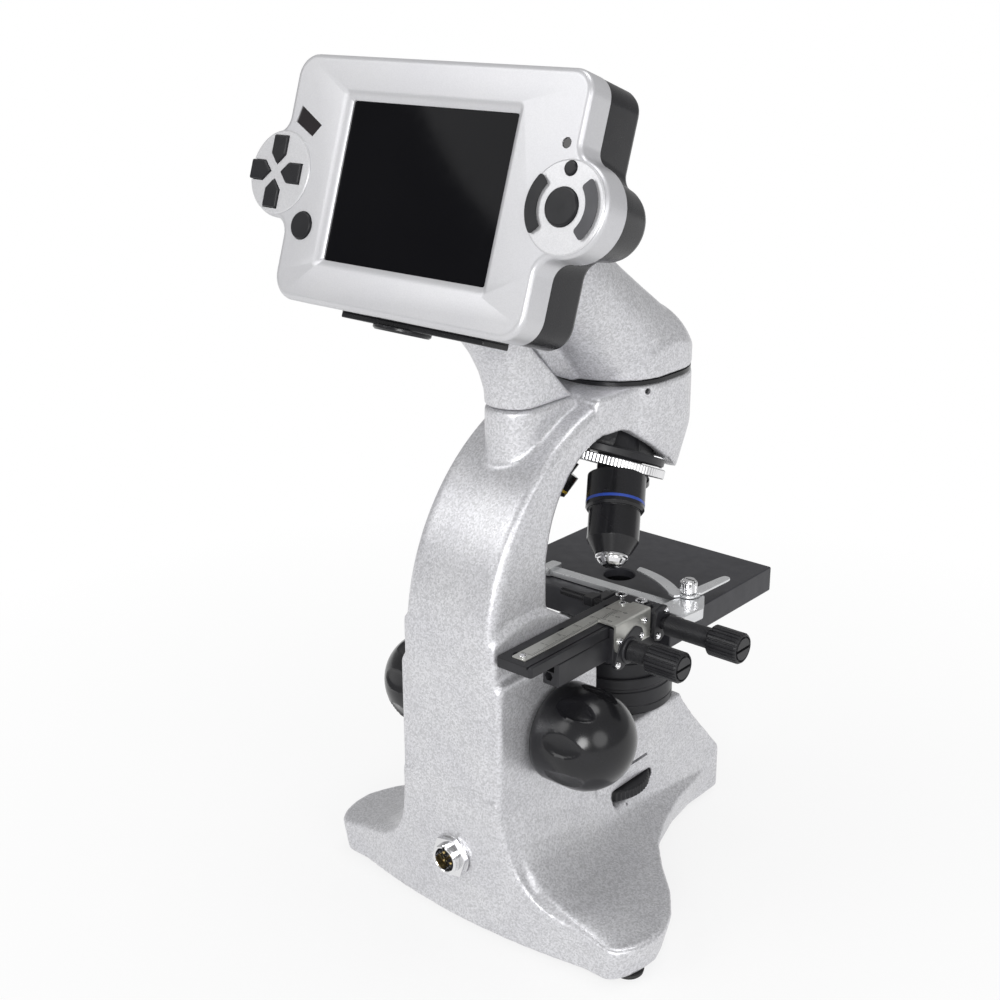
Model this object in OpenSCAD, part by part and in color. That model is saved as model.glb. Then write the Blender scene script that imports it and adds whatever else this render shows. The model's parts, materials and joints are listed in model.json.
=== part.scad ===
// Monocular laboratory microscope with a fixed 3.5 inch LCD head.
// Z is up, the feet stand on z = 0, +X is to the right of the user and
// +Y points away from the user, from the arm towards the stage.

/* [Placement] */
// Distance of the optical axis behind the middle of the footprint
optic_y = 42; // [30:0.5:55]
// Height above the table from which all heights are measured
datum_z = 4.4; // [3:0.1:6]

/* [Base and arm] */
// Height of the flat table under the lamp collar
seat_z = 57; // [50:0.5:60]
// Half width of the casting at the focus housing
housing_hw = 24.3; // [23:0.1:24.6]
// Half width of the arm above the focus housing
arm_hw = 20.8; // [18:0.1:21]
// Height of the seam between the arm and the head
seam_z = 198.8; // [197:0.1:200]
// Half width of the feet at the back of the base
foot_hw = 76.9; // [70:0.1:77]

/* [Focus] */
// Distance of the focus shaft behind the optical axis
focus_y = 72.7; // [71:0.1:74]
// Height of the focus shaft
focus_z = 78.3; // [77:0.1:80]
// Radius of the focus knobs
focus_knob_r = 19.15; // [15:0.05:19.5]
// Module of the focus pinion and rack
gear_m = 0.8; // [0.7:0.05:0.8]

/* [Stage] */
// Half width of the stage plate
stage_hw = 44; // [40:0.5:46]
// Near and far edges of the stage plate, from the optical axis
stage_near = -27.2; // [-28:0.1:-26]
// Far edge of the stage plate
stage_far = 47.1; // [44:0.1:50]
// Height of the stage surface
stage_z = 110.4; // [109:0.1:110.5]
// Thickness of the stage plate
stage_t = 10.7; // [8:0.1:11]
// Diameter of the hole in the stage
stage_hole_d = 13; // [10:0.5:20]

/* [Nosepiece] */
// Tilt of the nosepiece axis and of its objectives
nose_tilt = 23; // [20:0.5:25]
// Radius of the knurled ring of the nosepiece
turret_r = 25.5; // [24:0.1:25.6]
// Distance from the nosepiece axis to each objective
objective_ring = 15.85; // [15:0.05:16.5]
// Height of the middle of the nosepiece
turret_z = 162; // [161:0.1:163]

/* [Screen] */
// Distance of the middle of the screen behind the optical axis
lcd_y = 115.1; // [114:0.1:118]
// Height of the middle of the screen
lcd_z = 280.3; // [279:0.1:282]
// Lean of the screen, top away from the user
lcd_tilt = 18.8; // [17:0.1:20]
// Width of the visible screen
lcd_w = 71.5; // [66:0.1:74]
// Height of the visible screen
lcd_h = 53.6; // [50:0.1:55]
// Travel of the keys
key_travel = 0.8; // [0.4:0.1:1]

/* [Hidden] */
$fn = 64;

silver = [0.74, 0.75, 0.77];
bright = [0.86, 0.86, 0.87];
black = [0.10, 0.10, 0.12];
chrome = [0.80, 0.81, 0.82];
brass = [0.75, 0.62, 0.32];

slack = 0.05;       // radial running clearance
gap = 0.3;          // clearance between moving faces
foot_t = 2;         // the casting stops this far above the table
floor_z = foot_t - datum_z;
rim_z = 11.7;       // top of the apron round the feet
back_y = -101.4;    // back of the base
nose_end = 48;      // front of the base

// Arms of the casting seen from the side: [y, z] of each ellipse's centre and half axes
arm_out_c = [-21.4, 115];
arm_out = [83.9, seam_z - arm_out_c[1]];
disc_c = [-86, 86.4];      // round cheeks of the focus housing
disc_r = 40;
cheek_hw = 21.8;
arm_in_c = [-36, 140];
arm_in = [37.5, 44];

stage_low = stage_z - stage_t;
pinion_r = 8 * gear_m;            // sixteen teeth
rack_line = -focus_y + pinion_r;  // pitch line of the focus rack

seam_back = -6.8;   // rear and front centres of the round nose
seam_front = 2.8;
seam_r = 24.8;

// Turret levels along its own axis, from the middle of the ring's lower face
ring_t = 4;
disc_low = 4.6;
disc_top = 8;

// Mechanical stage
bar_x0 = 22.9;      // left edge of the sliding bar
bar_x1 = 38.9;      // right edge
bar_z = 119;        // top of the sliding bar
bar_t = 4;
bar_near = -105;
bar_far = -31;
guide_x0 = 31.7;    // fixed guide under the bar
guide_low = 105.5;
guide_near = -89.6;
guide_far = -37.5;
y_axis = [-51.8, 108];     // [y, z] of the near knob's shaft
y_pinion_r = 5 * gear_m;   // ten teeth
x_axis = [-32.8, 112.7];   // [y, z] of the far knob's shaft
shaft_r = 4;
screw_r = 1.5;

// Screen housing, measured in its own plane from the middle of the screen
front_t = 3;        // front face stands this far before the glass
split_d = 7;        // joint between the two shells, behind the glass
back_d = 24.5;      // back face
wall = 2;
lobe = [62, 15.2];  // [x, radius] of the round ends
lobe_back = 13.2;   // their radius behind the split
top_y = 41.2;
low_y = -42;
top_hw = 63;
low_hw = 55.5;
dpad = [-63.8, 0];
ok_key = [-46.7, -16.8];
snap_key = [61.2, 0.1];
power_key = [61.6, 10.6];
led_hole = [57.7, 18.9];

function arc(c, r, a0, a1, n = 16) =
    [for (i = [0:n]) let (a = a0 + (a1 - a0) * i / n) [c[0] + r[0] * cos(a), c[1] + r[1] * sin(a)]];
function mirrored(pts) = [for (i = [len(pts) - 1:-1:0]) [-pts[i][0], pts[i][1]]];

module on_axis() translate([0, optic_y, datum_z]) children();
module side_profile(width) rotate([90, 0, 90]) linear_extrude(width, center = true) children();
module on_turret() on_axis() translate([0, -14.6, turret_z]) rotate([-nose_tilt, 0, 0]) children();
module on_objective(phi)
    on_turret() rotate([0, 0, -phi]) translate([0, objective_ring, 0]) rotate([nose_tilt, 0, 0]) children();
module on_screen() on_axis() translate([0, -lcd_y, lcd_z]) rotate([90 - lcd_tilt, 0, 0]) children();
module along_x(y, z, x) on_axis() translate([x, y, z]) rotate([0, 90, 0]) children();
module tube(r_out, r_in, h) difference() {
    cylinder(r = r_out, h = h);
    translate([0, 0, -1]) cylinder(r = r_in, h = h + 2);
}
// Upright column of the nose: two cylinders, one behind the other
module oval(r, h) {
    for (y = [seam_back, seam_front]) translate([0, y, 0]) cylinder(r = r, h = h);
    translate([-r, seam_back, 0]) cube([2 * r, seam_front - seam_back, h]);
}

// ---------------------------------------------------------------- stand

// Half of the base seen from above: square back corners, hollow sides, narrow front
corner_c = [foot_hw - 15, -81.6];
toe_c = [foot_hw - 10, -73];
side_pts = [for (y = [-61:8:47]) [22 + 50 * pow((nose_end - 1 - y) / 108, 2.2), y]];
rear_pts = [for (x = [0:10:50]) [x, back_y + 4.9 * pow(x / 61, 2)]];
half_base = concat(rear_pts, arc(corner_c, [15, 15], -90, 0, 8), arc(toe_c, [10, 10], 0, 32, 4),
    side_pts, [[22, nose_end - 2], [18, nose_end], [0, nose_end]]);

module base_outline() {
    polygon(half_base);
    mirror([1, 0]) polygon(half_base);
}

// Apron that sweeps from the walls of the stand down to its rim: one station is
// [distance from the wall, height] and falls off steeply, then slowly
wing_y = [for (i = [0:10]) back_y - 2 + 13.2 * i];
wing_t = [0, 0.05, 0.1, 0.16, 0.24, 0.35, 0.5, 0.75, 1];
function wing_x(y) = min(foot_hw + 1, 23 + 50 * pow(max(0, nose_end - 1 - y) / 108, 2.2));
function wing_z(y, t) = rim_z - 0.6 + (0.26 - 0.0068 * y) * (42 * exp(-t / 0.17) + 9.5 * (1 - t));
function wing_row(y) = concat([[12, y, floor_z]],
    [for (t = wing_t) [20 + (wing_x(y) - 20) * t, y, wing_z(y, t)]], [[wing_x(y), y, floor_z]]);

module foot_wing() {
    w = len(wing_t) + 2;
    m = len(wing_y) - 1;
    polyhedron(points = [for (y = wing_y) each wing_row(y)], faces = concat(
        [[for (j = [0:w - 1]) j]], [[for (j = [w - 1:-1:0]) m * w + j]],
        [for (i = [0:m - 1], j = [0:w - 1]) let (k = (j + 1) % w) [i * w + j, (i + 1) * w + k, i * w + k]],
        [for (i = [0:m - 1], j = [0:w - 1]) let (k = (j + 1) % w) [i * w + j, (i + 1) * w + j, (i + 1) * w + k]]));
}

arm_side = concat([[back_y, floor_z], [-105.3, 45]], arc(arm_out_c, arm_out, 180, 105, 18),
    [[-40, seam_z], [0, seam_z], [0, 180], [-16.6, 180], [-29.7, 183.7]], arc(arm_in_c, arm_in, 96, 180, 16),
    [[-73.2, 126], [-60, 120], [-50, 108], [-46, 95], [-45, floor_z]]);
housing_side = [[back_y, floor_z], [-105.3, 45], [-105.3, 104], [-50, 104], [-46, 95], [-45, floor_z]];
cheek_side = concat([[-103.5, 60]], arc(disc_c, [disc_r, disc_r], 116, 32, 18), [[-53, 101], [-53, 60]]);
boss_side = [[-78, 176], [-38, 186], [-38, seam_z], [-78, seam_z]];
pedestal_side = [[-60, floor_z], [-60, seat_z], [16, seat_z], [47.7, 18.4], [nose_end, floor_z]];
nose_side = [[-31, seam_z], [31, seam_z], [31, 178], [24.5, 159.5], [12.5, 159.5], [-31, 188.5]];
cavity_side = [[-95, -5], [-99, 40], [-99, 50], [-24, 50], [12, 50], [36, 20], [41, -5]];

module casting_outside() {
    intersection() {
        translate([0, 0, floor_z]) linear_extrude(60) base_outline();
        union() {
            translate([-100, -120, floor_z]) cube([200, 200, rim_z - floor_z]);
            foot_wing();
            mirror([1, 0, 0]) foot_wing();
        }
    }
    side_profile(2 * arm_hw) polygon(arm_side);
    side_profile(2 * housing_hw) polygon(housing_side);
    side_profile(2 * cheek_hw) polygon(cheek_side);
    side_profile(45) polygon(pedestal_side);
    intersection() {
        translate([0, 0, 150]) oval(seam_r, 60);
        side_profile(60) polygon(nose_side);
    }
    intersection() {
        side_profile(22) polygon(boss_side);
        union() {
            translate([0, -67, 160]) cylinder(r = 11, h = 60);
            translate([-11, -67, 160]) cube([22, 30, 60]);
        }
    }
}

module base_arm() color(silver) on_axis() difference() {
    union() {
        difference() {
            casting_outside();
            side_profile(38) polygon(cavity_side);
        }
        for (x = [-12, 12]) translate([x, 20, floor_z]) cylinder(r = 3.5, h = 41 - floor_z);
    }
    // light path from the lamp
    translate([0, 0, 40]) cylinder(r = 12, h = 30);
    // channel of the stage slide, open to the front
    translate([-10, -69.5, 58]) cube([20, 30, 61]);
    // shaft bores and room for the pinion
    translate([-30, -focus_y, focus_z]) rotate([0, 90, 0]) cylinder(r = shaft_r + slack, h = 60);
    translate([-9, -focus_y, focus_z]) rotate([0, 90, 0]) cylinder(r = pinion_r + 2, h = 18);
    // socket hole in the back wall
    translate([0, -90, 28]) rotate([90, 0, 0]) cylinder(r = 6.1, h = 20);
    // slots in the right wall for the dimmer and for air
    translate([15, -33.5, 24.4]) cube([14, 28, 6]);
    translate([6.5, -18.5, 24.4]) cylinder(r = 20.6, h = 6);
    translate([15, -20, 38]) cube([14, 11, 1.2]);
    translate([15, -24, 22]) rotate([0, 90, 0]) cylinder(r = 0.8, h = 14);
    // bore through the nose, seat of the nosepiece mount and room for the turret
    translate([0, 0, 150]) cylinder(r = 12, h = 60);
    translate([0, -14.6, turret_z]) rotate([-nose_tilt, 0, 0]) {
        translate([0, 0, -12]) cylinder(r = turret_r + 0.6, h = 12 + disc_top + 0.9);
        cylinder(r = 19.7, h = 17.5);
    }
    // set screw hole under the seam
    translate([0, seam_back, 196.2]) rotate([0, 0, -22.4]) rotate([0, 90, 0]) cylinder(r = 1.2, h = 40);
    // screw pilots of the bottom cover
    for (p = cover_pts) translate([p[0], p[1], -5]) cylinder(r = 1.3, h = 13);
    // floor recess that takes the cover
    translate([0, 0, -5]) linear_extrude(5 + floor_z + 1.6) offset_cover(0.2);
}

cover_pts = [[-56, -84], [56, -84], [-12, 20], [12, 20]];
feet_pts = [[-68, -83], [68, -83], [-13, 36], [13, 36]];

module offset_cover(extra) {
    translate([-66 - extra, -92 - extra]) square([132 + 2 * extra, 18 + 2 * extra]);
    translate([-20 - extra, -92 - extra]) square([40 + 2 * extra, 134 + 2 * extra]);
}

module base_cover() color(black) on_axis() difference() {
    translate([0, 0, floor_z]) linear_extrude(1.5) offset_cover(0);
    for (p = cover_pts) translate([p[0], p[1], -5]) cylinder(r = 1.7, h = 12);
}

module rubber_feet() color(black) on_axis()
    for (p = feet_pts) translate([p[0], p[1], -datum_z]) cylinder(r1 = 5.4, r2 = 6, h = foot_t);

module cover_screws() color(chrome) on_axis() for (p = cover_pts) translate([p[0], p[1], 0]) {
    translate([0, 0, 1 - datum_z]) cylinder(r = 2.6, h = foot_t - 1);
    translate([0, 0, floor_z]) cylinder(r = 1.25, h = 8);
}

module power_jack() color(chrome) on_axis() translate([0, -103.5, 28]) rotate([90, 0, 0]) {
    tube(5.9, 4.6, 6);
    translate([0, 0, -11]) cylinder(r = 5.9, h = 12);
    for (a = [45:90:315]) rotate([0, 0, a]) translate([2.4, 0, 0.5]) cylinder(r = 0.6, h = 3.5);
    // hexagonal nut
    translate([0, 0, 1.2]) difference() {
        cylinder(r = 8.6, h = 2.6, $fn = 6);
        translate([0, 0, -1]) cylinder(r = 5.5, h = 5);
    }
}

// Grub screw that holds the head on its seam
module head_set_screw() color(black) on_axis() translate([0, seam_back, 196.2]) rotate([0, 0, -22.4])
    rotate([0, 90, 0]) translate([0, 0, 18]) cylinder(r = 1.15, h = 5.4);

module light_board() color([0.1, 0.35, 0.2]) on_axis() {
    translate([-16, -60, 17]) cube([32, 72, 1.6]);
    for (x = [-12, 12], y = [-52, 6]) translate([x, y, floor_z + 1.5]) cylinder(r = 3, h = 16 - floor_z);
    // dimmer spindle
    translate([6.5, -18.5, 18]) cylinder(r = 5, h = 6.5);
    translate([6.5, -18.5, 20]) cylinder(r = 2.5, h = 11.5);
    // lamp on its post
    translate([0, 4.6, 18]) cylinder(r = 2.2, h = 24);
    translate([0, 0, 40]) cylinder(r = 6, h = 6);
    translate([0, 0, 45]) cylinder(r = 2.5, h = 3.5);
}

module dimmer_wheel() color(black) on_axis() translate([6.5, -18.5, 25]) difference() {
    cylinder(r = 20, h = 4.8);
    translate([0, 0, -1]) cylinder(r = 2.5 + slack, h = 7);
    for (a = [0:10:350]) rotate([0, 0, a]) translate([20.3, 0, -1]) cylinder(r = 0.6, h = 7, $fn = 8);
}

module collector_lens() color([0.8, 0.9, 0.95, 0.5]) on_axis() translate([0, 0, seat_z + 2.85]) intersection() {
    cylinder(r = 17.8, h = 12);
    translate([0, 0, -34]) sphere(r = 40);
}

module lamp_collar() color(black) on_axis() translate([0, 0, seat_z]) difference() {
    union() {
        cylinder(r = 23.3, h = 10.4);
        translate([0, 0, 10]) cylinder(r = 22.9, h = 1.4);
        translate([0, 0, 11.4]) cylinder(r = 23.3, h = 3.1);
    }
    translate([0, 0, -1]) cylinder(r = 16, h = 20);
    translate([0, 0, 2.8]) cylinder(r = 22.35, h = 20);
}

// ------------------------------------------------------------- nosepiece

module nose_mount() color(black) on_turret() difference() {
    union() {
        translate([0, 0, disc_low]) cylinder(r = 24.3, h = disc_top - disc_low);
        translate([0, 0, disc_top - 0.5]) cylinder(r1 = 19.6, r2 = 17, h = 9.5);
    }
    translate([0, 0, 0]) cylinder(r = 2.1, h = 12);
    translate([0, objective_ring, 0]) rotate([nose_tilt, 0, 0]) translate([0, 0, -12]) cylinder(r = 7, h = 40);
}

module detent_spring() color(chrome) on_turret() rotate([0, 0, -38]) {
    translate([-1.6, 20.2, disc_top + 0.05]) cube([3.2, 4.6, 0.6]);
    translate([-1.6, 24.5, 4.4]) cube([3.2, 0.3, disc_top - 4]);
    translate([-1.6, 24.5, disc_top + 0.05]) cube([3.2, 0.9, 0.6]);
}

module objective_bores() {
    for (phi = [0, 120, 240])
        rotate([0, 0, -phi]) translate([0, objective_ring, 0]) rotate([nose_tilt, 0, 0]) {
            translate([0, 0, -3.5]) cylinder(r = 8 + slack, h = 20);
            translate([0, 0, -23.5]) cylinder(r = 12.2, h = 20);
        }
}

module turret_body() color(black) on_turret() difference() {
    union() {
        translate([0, 0, -8]) cylinder(r1 = 6.5, r2 = 25.3, h = 8);
        cylinder(r = 21.4, h = ring_t);
        cylinder(r = 2, h = disc_low + 5);
    }
    objective_bores();
}

module turret_ring() color(chrome) on_turret() difference() {
    translate([0, 0, slack]) cylinder(r = turret_r, h = ring_t - 2 * slack);
    translate([0, 0, -1]) cylinder(r = 21.45, h = 8);
    objective_bores();
    for (a = [0:6:354]) rotate([0, 0, a]) translate([turret_r + 0.45, 0, -1]) cylinder(r = 0.7, h = 8, $fn = 8);
}

// Objective built downwards from the middle of its seat: [[length, radius], ...] of its outline
module objective(steps, shank = 4.5) {
    rotate([180, 0, 0]) rotate_extrude() polygon(concat([[3, -shank + 3.5], [8, -shank + 3.5], [8, 3.5]],
        [for (s = steps) [s[1], s[0]]], [[3, steps[len(steps) - 1][0]]]));
    rotate([180, 0, 0]) translate([0, 0, steps[len(steps) - 1][0] - 1.2]) cylinder(r = 3, h = 1);
}

module objective_4x() color(black) on_objective(0)
    objective([[3.6, 11.2], [6, 11.2], [6.3, 9.4], [16, 9.4], [19.8, 6.4]]);
module objective_10x() color(black) on_objective(240)
    objective([[3.6, 11.2], [13, 11.2], [13.4, 9.6], [23, 9.6], [29, 6.2], [32, 5]]);
module objective_40x() color(black) on_objective(120)
    objective([[3.6, 11.3], [17, 11.3], [17.6, 9.9], [29.5, 9.9], [35.6, 6.3], [37.2, 6.1], [39.3, 3.6]]);

// ------------------------------------------------------------------ head

ring_h = 1.6;
head_z = seam_z + ring_h;      // underside of the head casting
neck_rise = 42.1;              // slope of the neck

module seam_ring() color(black) on_axis() translate([0, 0, seam_z + 0.02]) difference() {
    oval(seam_r - 0.4, ring_h - 0.04);
    translate([0, 0, -1]) oval(20, ring_h + 2);
}

rib_side = [[-46, seam_z + 0.3], [-68, 219.8], [-110, 260], [-112, 232], [-103, 229.5], [-91.1, 225.2],
    [-86, 219.4], [-81.2, 211.6], [-78.2, 204], [-78, seam_z + 0.3]];
web_side = [[-20, seam_z + 0.3], [-60, 260], [-110, 260], [-60, seam_z + 0.3]];

module head_casting() color(silver) difference() {
    on_axis() union() {
        intersection() {
            translate([0, 0, head_z]) oval(seam_r - 0.1, 60);
            translate([0, -1.6, seam_z + 0.8]) sphere(r = 28.4);
        }
        translate([0, -1, 203]) rotate([90 - neck_rise, 0, 0]) cylinder(r1 = 23.5, r2 = 14, h = 125);
        intersection() {
            side_profile(22) polygon(rib_side);
            union() {
                translate([0, -67, 190]) cylinder(r = 11, h = 100);
                translate([-11, -67, 190]) cube([22, 40, 100]);
                translate([-11, -120, 212]) cube([22, 80, 100]);
            }
        }
        side_profile(3) polygon(web_side);
    }
    // flat end against the screen housing
    on_screen() translate([-60, -70, -back_d - 0.2]) cube([120, 140, 200]);
    // nothing below the seam
    on_axis() translate([-60, -45, 0]) cube([120, 120, head_z]);
    on_axis() translate([-60, -120, 0]) cube([120, 120, seam_z + 0.3]);
    // light path: up from the arm, then back along the neck
    on_axis() translate([0, 0, 190]) cylinder(r = 16, h = 24);
    on_axis() translate([0, -1, 203]) rotate([90 - neck_rise, 0, 0]) cylinder(r = 11.2, h = 130);
}

module prism() color([0.8, 0.9, 0.95, 0.5]) on_axis() translate([0, 0, head_z]) {
    tube(15.9, 6, 1.6);
    translate([0, 0, 1.5]) side_profile(17) polygon([[-8, 0], [8, 0], [8, 11], [-8, 4]]);
}

module camera_module() color(black) on_axis() translate([0, -1, 203]) rotate([90 - neck_rise, 0, 0]) {
    translate([0, 0, 82]) cylinder(r = 11, h = 14);
    translate([0, 0, 78]) tube(7, 5, 5);
    translate([0, 0, 80]) cylinder(r = 5, h = 3);
}

// ---------------------------------------------------------------- screen

// Centre of the fillet of radius r between a straight side at x and a lobe; up is 1 or -1
function fillet_c(x, r, up, end_r) = [x + r, up * sqrt(pow(end_r + r, 2) - pow(x + r - lobe[0], 2))];
function lobe_angle(c) = atan2(c[1], c[0] - lobe[0]);

// Right half of the face, from the lower corner round the lobe to the upper corner
function half_face(end_r) =
    let (low = fillet_c(low_hw, 6, -1, end_r), top = fillet_c(top_hw, 5, 1, end_r))
    concat(arc([low_hw - 9, low_y + 9], [9, 9], -90, 0, 6),
        arc(low, [6, 6], 180, lobe_angle(low) + 180, 6),
        arc([lobe[0], 0], [end_r, end_r], lobe_angle(low) + 6, lobe_angle(top) - 6, 22),
        arc(top, [5, 5], lobe_angle(top) + 180, 180, 6),
        arc([top_hw - 8, top_y - 8], [8, 8], 0, 90, 6));

module face_outline(end_r) polygon(concat(half_face(end_r), mirrored(half_face(end_r))));

module inner_outline(end_r) {
    translate([-52, -33]) square([104, 70]);
    for (s = [-1, 1]) translate([s * lobe[0], 0]) circle(r = end_r - wall);
    translate([-lobe[0], -8]) square([2 * lobe[0], 16]);
}

// Straight slab between two depths of the screen housing, front side positive
module slab(d0, d1) translate([0, 0, d0]) linear_extrude(d1 - d0) children();

module key_shapes(clear) {
    for (a = [0:90:270]) translate(dpad) rotate(a) arrow_key(clear);
    translate(ok_key) circle(r = 4.7 + clear);
    translate(snap_key) circle(r = 5.9 + clear);
    translate(power_key) translate([0, 1]) circle(r = 2.2 + clear);
    arc_key(9.6, 12.6, 180, 42, clear);
    arc_key(9.6, 12.6, 0, 42, clear);
}

module arrow_key(clear) polygon([[-3.4 - clear, 12.6 + clear], [3.4 + clear, 12.6 + clear],
    [3.4 + clear, 6], [0, 2.5 - clear], [-3.4 - clear, 6]]);

module arc_key(r0, r1, mid, half, clear) translate(snap_key)
    polygon(concat(arc([0, 0], [r0 - clear, r0 - clear], mid - half - clear, mid + half + clear, 12),
        arc([0, 0], [r1 + clear, r1 + clear], mid + half + clear, mid - half - clear, 12)));

module ir_window(clear) polygon([[-57.5 - clear, 23.3 + clear], [-46.3 + clear, 17.2 + clear],
    [-49.9, 13.1 - clear], [-59 - clear, 17.6 - clear]]);

module lcd_bezel() color(bright) on_screen() difference() {
    union() {
        slab(-split_d, front_t) face_outline(lobe[1]);
        for (s = [-1, 1]) translate([s * lobe[0], 0, 0]) cylinder(r = 14.4, h = front_t + 0.5);
    }
    slab(-split_d - 1, 0) inner_outline(lobe[1]);
    slab(-1, front_t + 1) square([lcd_w, lcd_h], center = true);
    hull() {
        translate([-39, -30, front_t]) cube([78, 60, 0.5]);
        translate([-lcd_w / 2, -lcd_h / 2, 0.6]) cube([lcd_w, lcd_h, 0.1]);
    }
    slab(-split_d - 1, front_t + 2) key_shapes(0.2);
    slab(-1, front_t + 2) ir_window(0.1);
    slab(-1, front_t + 2) translate(led_hole) circle(r = 1.7);
}

module lcd_rear_shell() color(black) on_screen() difference() {
    slab(-back_d, -split_d - 0.02) face_outline(lobe_back);
    slab(-back_d + wall, 0) inner_outline(lobe_back);
    slab(-back_d - 1, 0) circle(r = 10.5);
    for (p = shell_pts) translate([p[0], p[1], -back_d - 1]) cylinder(r = 2.7, h = 4);
    for (p = shell_pts) translate([p[0], p[1], -back_d - 1]) cylinder(r = 1.4, h = 30);
    translate([-32.2, low_y - 1, -22]) cube([64.4, 6, 13]);
}

shell_pts = [[-57, 32], [57, 32], [-47, -37.6], [47, -37.6]];

module shell_screws() color(chrome) on_screen() for (p = shell_pts) translate([p[0], p[1], -back_d + 0.6]) {
    cylinder(r = 2.5, h = 2);
    cylinder(r = 1.3, h = 14);
}

module lcd_glass() color([0.03, 0.03, 0.04]) on_screen() slab(-1.3, -0.05) square([77, 59], center = true);
module lcd_panel() color([0.2, 0.2, 0.2]) on_screen() slab(-5, -1.4) square([78, 62], center = true);

module main_board() color([0.1, 0.35, 0.2]) on_screen() {
    slab(-11.2, -9.6) {
        square([98, 64], center = true);
        square([2 * lobe[0], 14], center = true);
        for (s = [-1, 1]) translate([s * lobe[0], 0]) circle(r = 10.1);
    }
    for (s = [-1, 1]) translate([s * 20, 10, -13.2]) cube([14, 14, 2.1]);
    // switches under the keys
    slab(-9.7, -7.1) {
        for (a = [0:90:270]) translate(dpad) rotate(a) translate([0, 8]) circle(r = 1.1);
        for (p = [ok_key, snap_key]) translate(p) circle(r = 2);
        for (s = [-1, 1]) translate([snap_key[0] + 10.8 * s, snap_key[1]]) circle(r = 1);
        translate([power_key[0], 9.9]) circle(r = 1.2);
    }
}

module battery_pack() color([0.3, 0.35, 0.5]) on_screen() {
    translate([-32, -31, -21.5]) cube([64, 30, 7]);
}

module battery_cover() color(black) on_screen() {
    translate([-32, low_y - 0.3, -21.8]) cube([64, 4, 12.6]);
    translate([-32, low_y - 2.2, -22]) cube([64, 2, 13]);
    translate([-8, low_y - 2, -14.5]) rotate([90, 0, 0]) cylinder(r = 10, h = 1.8);
}

module signal_windows() color([0.05, 0.05, 0.06]) on_screen() {
    slab(-0.9, front_t - 0.4) ir_window(0);
    slab(-0.9, front_t - 0.4) translate(led_hole) circle(r = 1.6);
}

module key(proud = 0.9) color(black) on_screen() slab(-6, front_t + 0.5 + proud) children();
module key_up() key() translate(dpad) rotate(0) arrow_key(0);
module key_left() key() translate(dpad) rotate(90) arrow_key(0);
module key_down() key() translate(dpad) rotate(180) arrow_key(0);
module key_right() key() translate(dpad) rotate(270) arrow_key(0);
module key_ok() key(0.4) translate(ok_key) circle(r = 4.7);
module key_menu() key() arc_key(9.6, 12.6, 180, 42, 0);
module key_mode() key() arc_key(9.6, 12.6, 0, 42, 0);
module key_snap() key(1.3) translate(snap_key) circle(r = 5.9);
module key_power() key() translate(power_key) translate([0, 1]) circle(r = 2.2);

// ----------------------------------------------------------------- focus

// Gear wheel with thin teeth that run free of its rack at every angle
module pinion(teeth, h) linear_extrude(h) {
    r = teeth * gear_m / 2;
    circle(r = r - 0.9 * gear_m);
    for (i = [0:teeth - 1]) rotate(i * 360 / teeth)
        polygon([[r - 1.2 * gear_m, -0.75 * gear_m], [r + 0.6 * gear_m, -0.22 * gear_m],
            [r + 0.6 * gear_m, 0.22 * gear_m], [r - 1.2 * gear_m, 0.75 * gear_m]]);
}

// Rack seen from the side, teeth towards +x, pitch line on x = 0, a gap at y = 0
module rack_teeth(n, back) {
    p = PI * gear_m;
    translate([-back, -n * p / 2]) square([back - 0.9 * gear_m, n * p]);
    for (i = [0:n - 1]) translate([0, (i - n / 2 + 0.5) * p])
        polygon([[-1.1 * gear_m, -0.7 * gear_m], [0.6 * gear_m, -0.22 * gear_m],
            [0.6 * gear_m, 0.22 * gear_m], [-1.1 * gear_m, 0.7 * gear_m]]);
}

module focus_shaft() color(chrome) {
    along_x(-focus_y, focus_z, -40) cylinder(r = shaft_r, h = 80);
    along_x(-focus_y, focus_z, -7) rotate([0, 0, 90]) pinion(16, 14);
}

module focus_knob() difference() {
    union() {
        cylinder(r = 16, h = 1.5);
        translate([0, 0, 1]) cylinder(r = focus_knob_r, h = 38.7 - 26.5);
        translate([0, 0, 38.7 - 25.5]) sphere(r = focus_knob_r);
    }
    translate([0, 0, -40]) cylinder(r = 60, h = 40);
    translate([0, 0, -1]) cylinder(r = shaft_r + 0.03, h = 16.1);
    for (a = [0:60:300]) rotate([0, 0, a + 15]) translate([focus_knob_r + 9, 0, 15]) sphere(r = 11.2);
}

module focus_knob_right() color(black) along_x(-focus_y, focus_z, 25.5) focus_knob();
module focus_knob_left() color(black) mirror([1, 0, 0]) along_x(-focus_y, focus_z, 25.5) focus_knob();

// ----------------------------------------------------------------- stage

slide_x = 9.6;

module stage_slide() color(silver) on_axis() difference() {
    union() {
        translate([-slide_x, -61, 70]) cube([2 * slide_x, 17, 36]);
        translate([-slide_x, -46, 90]) cube([2 * slide_x, 22, stage_low - 90]);
    }
    translate([-slide_x - 1, -50, 60]) cube([2 * slide_x + 2, 10, 30]);
    translate([0, 0, 80]) cylinder(r = 23.4, h = 17);
}

module focus_rack() color(brass) on_axis() translate([0, rack_line, focus_z])
    side_profile(10) mirror([1, 0]) rack_teeth(8, -rack_line - 61.05);

module stage_plate() color(black) on_axis() difference() {
    translate([-stage_hw, stage_near, stage_low]) cube([2 * stage_hw, stage_far - stage_near, stage_t]);
    cylinder(r = stage_hole_d / 2, h = 200);
    cylinder(r = 19, h = stage_z - 3.5);
}

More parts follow.
